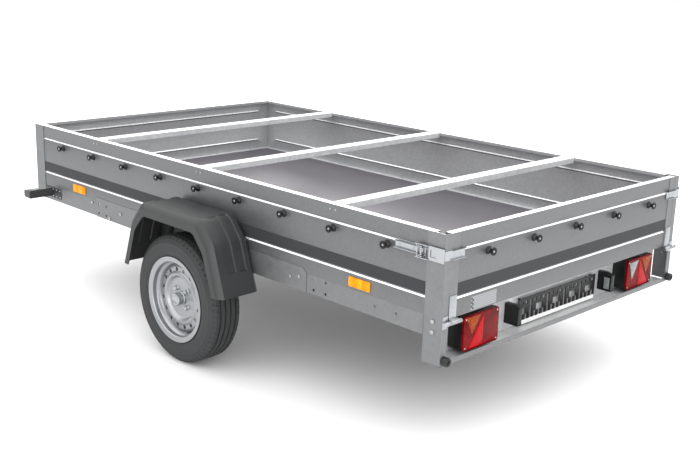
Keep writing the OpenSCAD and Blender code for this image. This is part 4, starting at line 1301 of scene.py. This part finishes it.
@dataclass
class SideFittings:
    """Reflectors, front markers, stripes, buffers and bolt heads on the chassis."""

    reflector_l: float = 0.105
    bracket_wall: float = 0.003
    rivet_in: float = 0.010
    rivet_pitch: float = 0.033
    rivet_rise: float = 0.034
    rivet: tuple[tuple[float, float], ...] = ((0, 2.2), (2.0, 1.9), (3.4, 0.8), (3.8, 0), (0, 0))

    def build(self) -> None:
        """Builds the small fittings."""
        self.reflectors()
        self.markers()
        self.buffers()
        dress("chassis_bolt_heads", "frame_bolts", BRIGHT_ZINC, "chassis", 0.0012, 3)
        dress("side_tape", "side_stripes", VINYL, "chassis")

    def reflectors(self) -> None:
        """Builds the four amber side reflectors."""
        low, high, _ = size_of("side_reflectors")
        skin = left_edge("side_reflectors")
        reach = self.reflector_l
        first = block("reflector", (low.x, skin, low.z), (low.x + reach, high.y, high.z))
        with editing(first):
            round_corners(first, Axis.Y, 0.004, 3)
            inset_faces(first, Axis.Y, 1, (0.003, -0.0012), (0.0012, 0.0010))
        round_edges(first, 0.0005)
        row = repeated(first, "amber_reflectors", [(0, 0, 0), (high.x - low.x - reach, 0, 0)])
        hand_over(with_mirror(row), AMBER_REFLEX, "chassis", "side_reflectors")

    def markers(self) -> None:
        """Builds the front marker lamps: bracket, lens and rivets."""
        low, _, mid = size_of("marker_brackets")
        dress("marker_arms", "marker_brackets", GRAINED_PLASTIC, "chassis", 0.0015, 2)
        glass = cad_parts["clear_lenses"].data
        spots = [v.co for v in glass.vertices if v.co.x > 0 and v.co.y > 0]
        lens_low = Vector([min(s[i] for s in spots) for i in range(3)])
        lens_high = Vector([max(s[i] for s in spots) for i in range(3)])
        lens = block("marker_lens", lens_low, lens_high)
        with editing(lens):
            round_corners(lens, Axis.X, 0.006, 3)
            inset_faces(lens, Axis.X, 1, (0.004, -0.0015))
        round_edges(lens, 0.0008)
        hand_over(with_mirror(lens), CLEAR_LENS, "chassis", "clear_lenses")
        plate_y = left_edge("marker_brackets") + self.bracket_wall
        first = turned("marker_rivet", self.rivet,
                       (low.x + self.rivet_in, plate_y, mid.z + self.rivet_rise / 2), Axis.Y, 12)
        spots = [(i * self.rivet_pitch, 0, -j * self.rivet_rise)
                 for i in range(3) for j in range(2)]
        hand_over(with_mirror(repeated(first, "marker_rivets", spots)), BRIGHT_ZINC, "chassis")

    def buffers(self) -> None:
        """Builds the two rubber buffers at the foot of the rear posts."""
        low, high, mid = size_of("buffers")
        radius = (high.z - low.z) / 2 / MM
        length = (high.x - low.x) / MM
        centre = (high.x, high.y - radius * MM, mid.z)
        profile = [(0, 0), (radius - 2, 0), (radius, -2), (radius, -length + 5),
                   (radius - 1.4, -length + 1.6), (radius - 4, -length), (8, -length),
                   (6.4, -length + 1.4), (6, -length + 5), (0, -length + 5)]
        pads = with_mirror(turned("rubber_buffers", profile, centre, Axis.X, 28))
        hand_over(pads, BUFFER_RUBBER, "chassis", "buffers")


@dataclass
class Running:
    """Drawbar, coupling, swing arms and the small hidden pieces."""

    bevel: float = 0.0015

    def build(self) -> None:
        """Rounds and dresses the running gear."""
        for side in Side:
            arm = f"swing_arm_{side.name}"
            dress(arm + "_forging", arm, FRAME_ZINC, f"suspension_{side.name}", self.bevel, 2)
            bar = f"drawbar_arm_{side.name}"
            dress(bar + "_tube", bar, FRAME_ZINC, "chassis", self.bevel, 2)
        dress("coupling_casting", "coupling_body", BRIGHT_ZINC, "chassis", 0.002, 2)
        dress("drawbar_bolt_heads", "drawbar_bolts", BRIGHT_ZINC, "chassis", 0.001, 2)
        dress("coupling_lever", "coupling_handle", CAST_BLACK, "coupling_handle", 0.0025, 3)
        paint_node("coupling_clamp", CAST_BLACK)
        paint_node("torsion_rubbers", BUFFER_RUBBER)


# ---------------------------------------------------------------- studio


@dataclass
class Studio:
    """The pale floor, the soft lights and the camera."""

    floor_half: float = 40.0
    eye: tuple[float, float, float] = (-4.1565, 3.3571, 1.7073)
    yaw: float = -0.7863398
    pitch: float = 0.2656641
    roll: float = 0.0302960
    lens: float = 53.70
    overhead: float = 4.6
    overhead_spread: float = 130.0
    far_glow: float = 380.0
    rear_glow: float = 260.0
    air: float = 0.55

    def build(self) -> None:
        """Sets up the studio."""
        self.floor()
        self.sky()
        self.ceiling()
        self.softbox("far_softbox", (5.5, -5.5, 2.4), (0.0, 0.0, 0.6), (8.0, 3.5), self.far_glow)
        self.softbox("rear_softbox", (-7.0, 5.0, 2.2), (-0.6, 0.2, 0.5), (6.0, 3.6), self.rear_glow)
        self.camera()

    def floor(self) -> None:
        """Builds the floor as a wide ring of panels."""
        bpy.ops.mesh.primitive_circle_add(vertices=64, radius=self.floor_half, fill_type="NGON")
        floor = settle("studio_floor")
        with editing(floor):
            bpy.ops.mesh.select_mode(type="FACE")
            bpy.ops.mesh.inset(thickness=self.floor_half * 0.7)
        floor.data.materials.append(STUDIO_WHITE.material())

    def sky(self) -> None:
        """Lights the scene evenly and keeps the background white."""
        world = bpy.data.worlds.new("studio_air")
        bpy.context.scene.world = world
        world.use_nodes = True
        tree = world.node_tree
        seen = add_node(tree, "ShaderNodeLightPath").outputs["Is Camera Ray"]
        strength = add_node(tree, "ShaderNodeMapRange", None,
                            {"Value": seen, "To Min": self.air, "To Max": 1.0})
        air = tree.nodes["Background"]
        air.inputs["Color"].default_value = linear("#ffffff")
        tree.links.new(strength.outputs["Result"], air.inputs["Strength"])
        bpy.context.scene.view_settings.view_transform = "Standard"

    def ceiling(self) -> None:
        """Adds the wide soft light from straight above."""
        bpy.ops.object.light_add(type="SUN", location=(0, 0, 5))
        lamp = bpy.context.object
        lamp.name = "ceiling_light"
        lamp.data.energy = self.overhead
        lamp.data.angle = math.radians(self.overhead_spread)

    def softbox(self, name: str, place: Point, target: Point, size: tuple[float, float],
                power: float) -> None:
        """Adds a rectangular softbox.

        Args:
            name: The light's name.
            place: Where its middle is.
            target: The point that it faces.
            size: Its width and height.
            power: Its power in watts.
        """
        bpy.ops.object.light_add(type="AREA", location=place)
        lamp = bpy.context.object
        lamp.name = name
        lamp.data.shape = "RECTANGLE"
        lamp.data.size, lamp.data.size_y = size
        lamp.data.energy = power
        lamp.visible_camera = False
        aim = Vector(target) - Vector(place)
        lamp.rotation_euler = aim.to_track_quat("-Z", "Y").to_euler()

    def camera(self) -> None:
        """Places the camera behind the trailer's left corner."""
        ahead = Vector((math.cos(self.yaw) * math.cos(self.pitch),
                        math.sin(self.yaw) * math.cos(self.pitch), -math.sin(self.pitch)))
        right = Vector((math.sin(self.yaw), -math.cos(self.yaw), 0))
        up = right.cross(ahead)
        across = right * math.cos(self.roll) + up * math.sin(self.roll)
        upward = up * math.cos(self.roll) - right * math.sin(self.roll)
        turn = Matrix((across, upward, -ahead)).transposed()
        bpy.ops.object.camera_add(location=self.eye)
        camera = bpy.context.object
        camera.name = "rear_corner_camera"
        camera.rotation_euler = turn.to_euler()
        camera.data.lens = self.lens
        camera.data.sensor_width = 36.0
        bpy.context.scene.camera = camera


def main() -> None:
    """Builds the studio and every sub-assembly."""
    logging.basicConfig(level=logging.INFO, format="%(name)s: %(message)s")
    Studio().build()
    for part in (LoadBox(), Floor(), Tailgate(), Latches(), RearLamps(), PlateGroup(),
                 SideFittings(), Buttons(), Mudguard(), Wheel(), Running()):
        LOG.info("building %s", type(part).__name__)
        part.build()


if __name__ == "__main__":
    main()
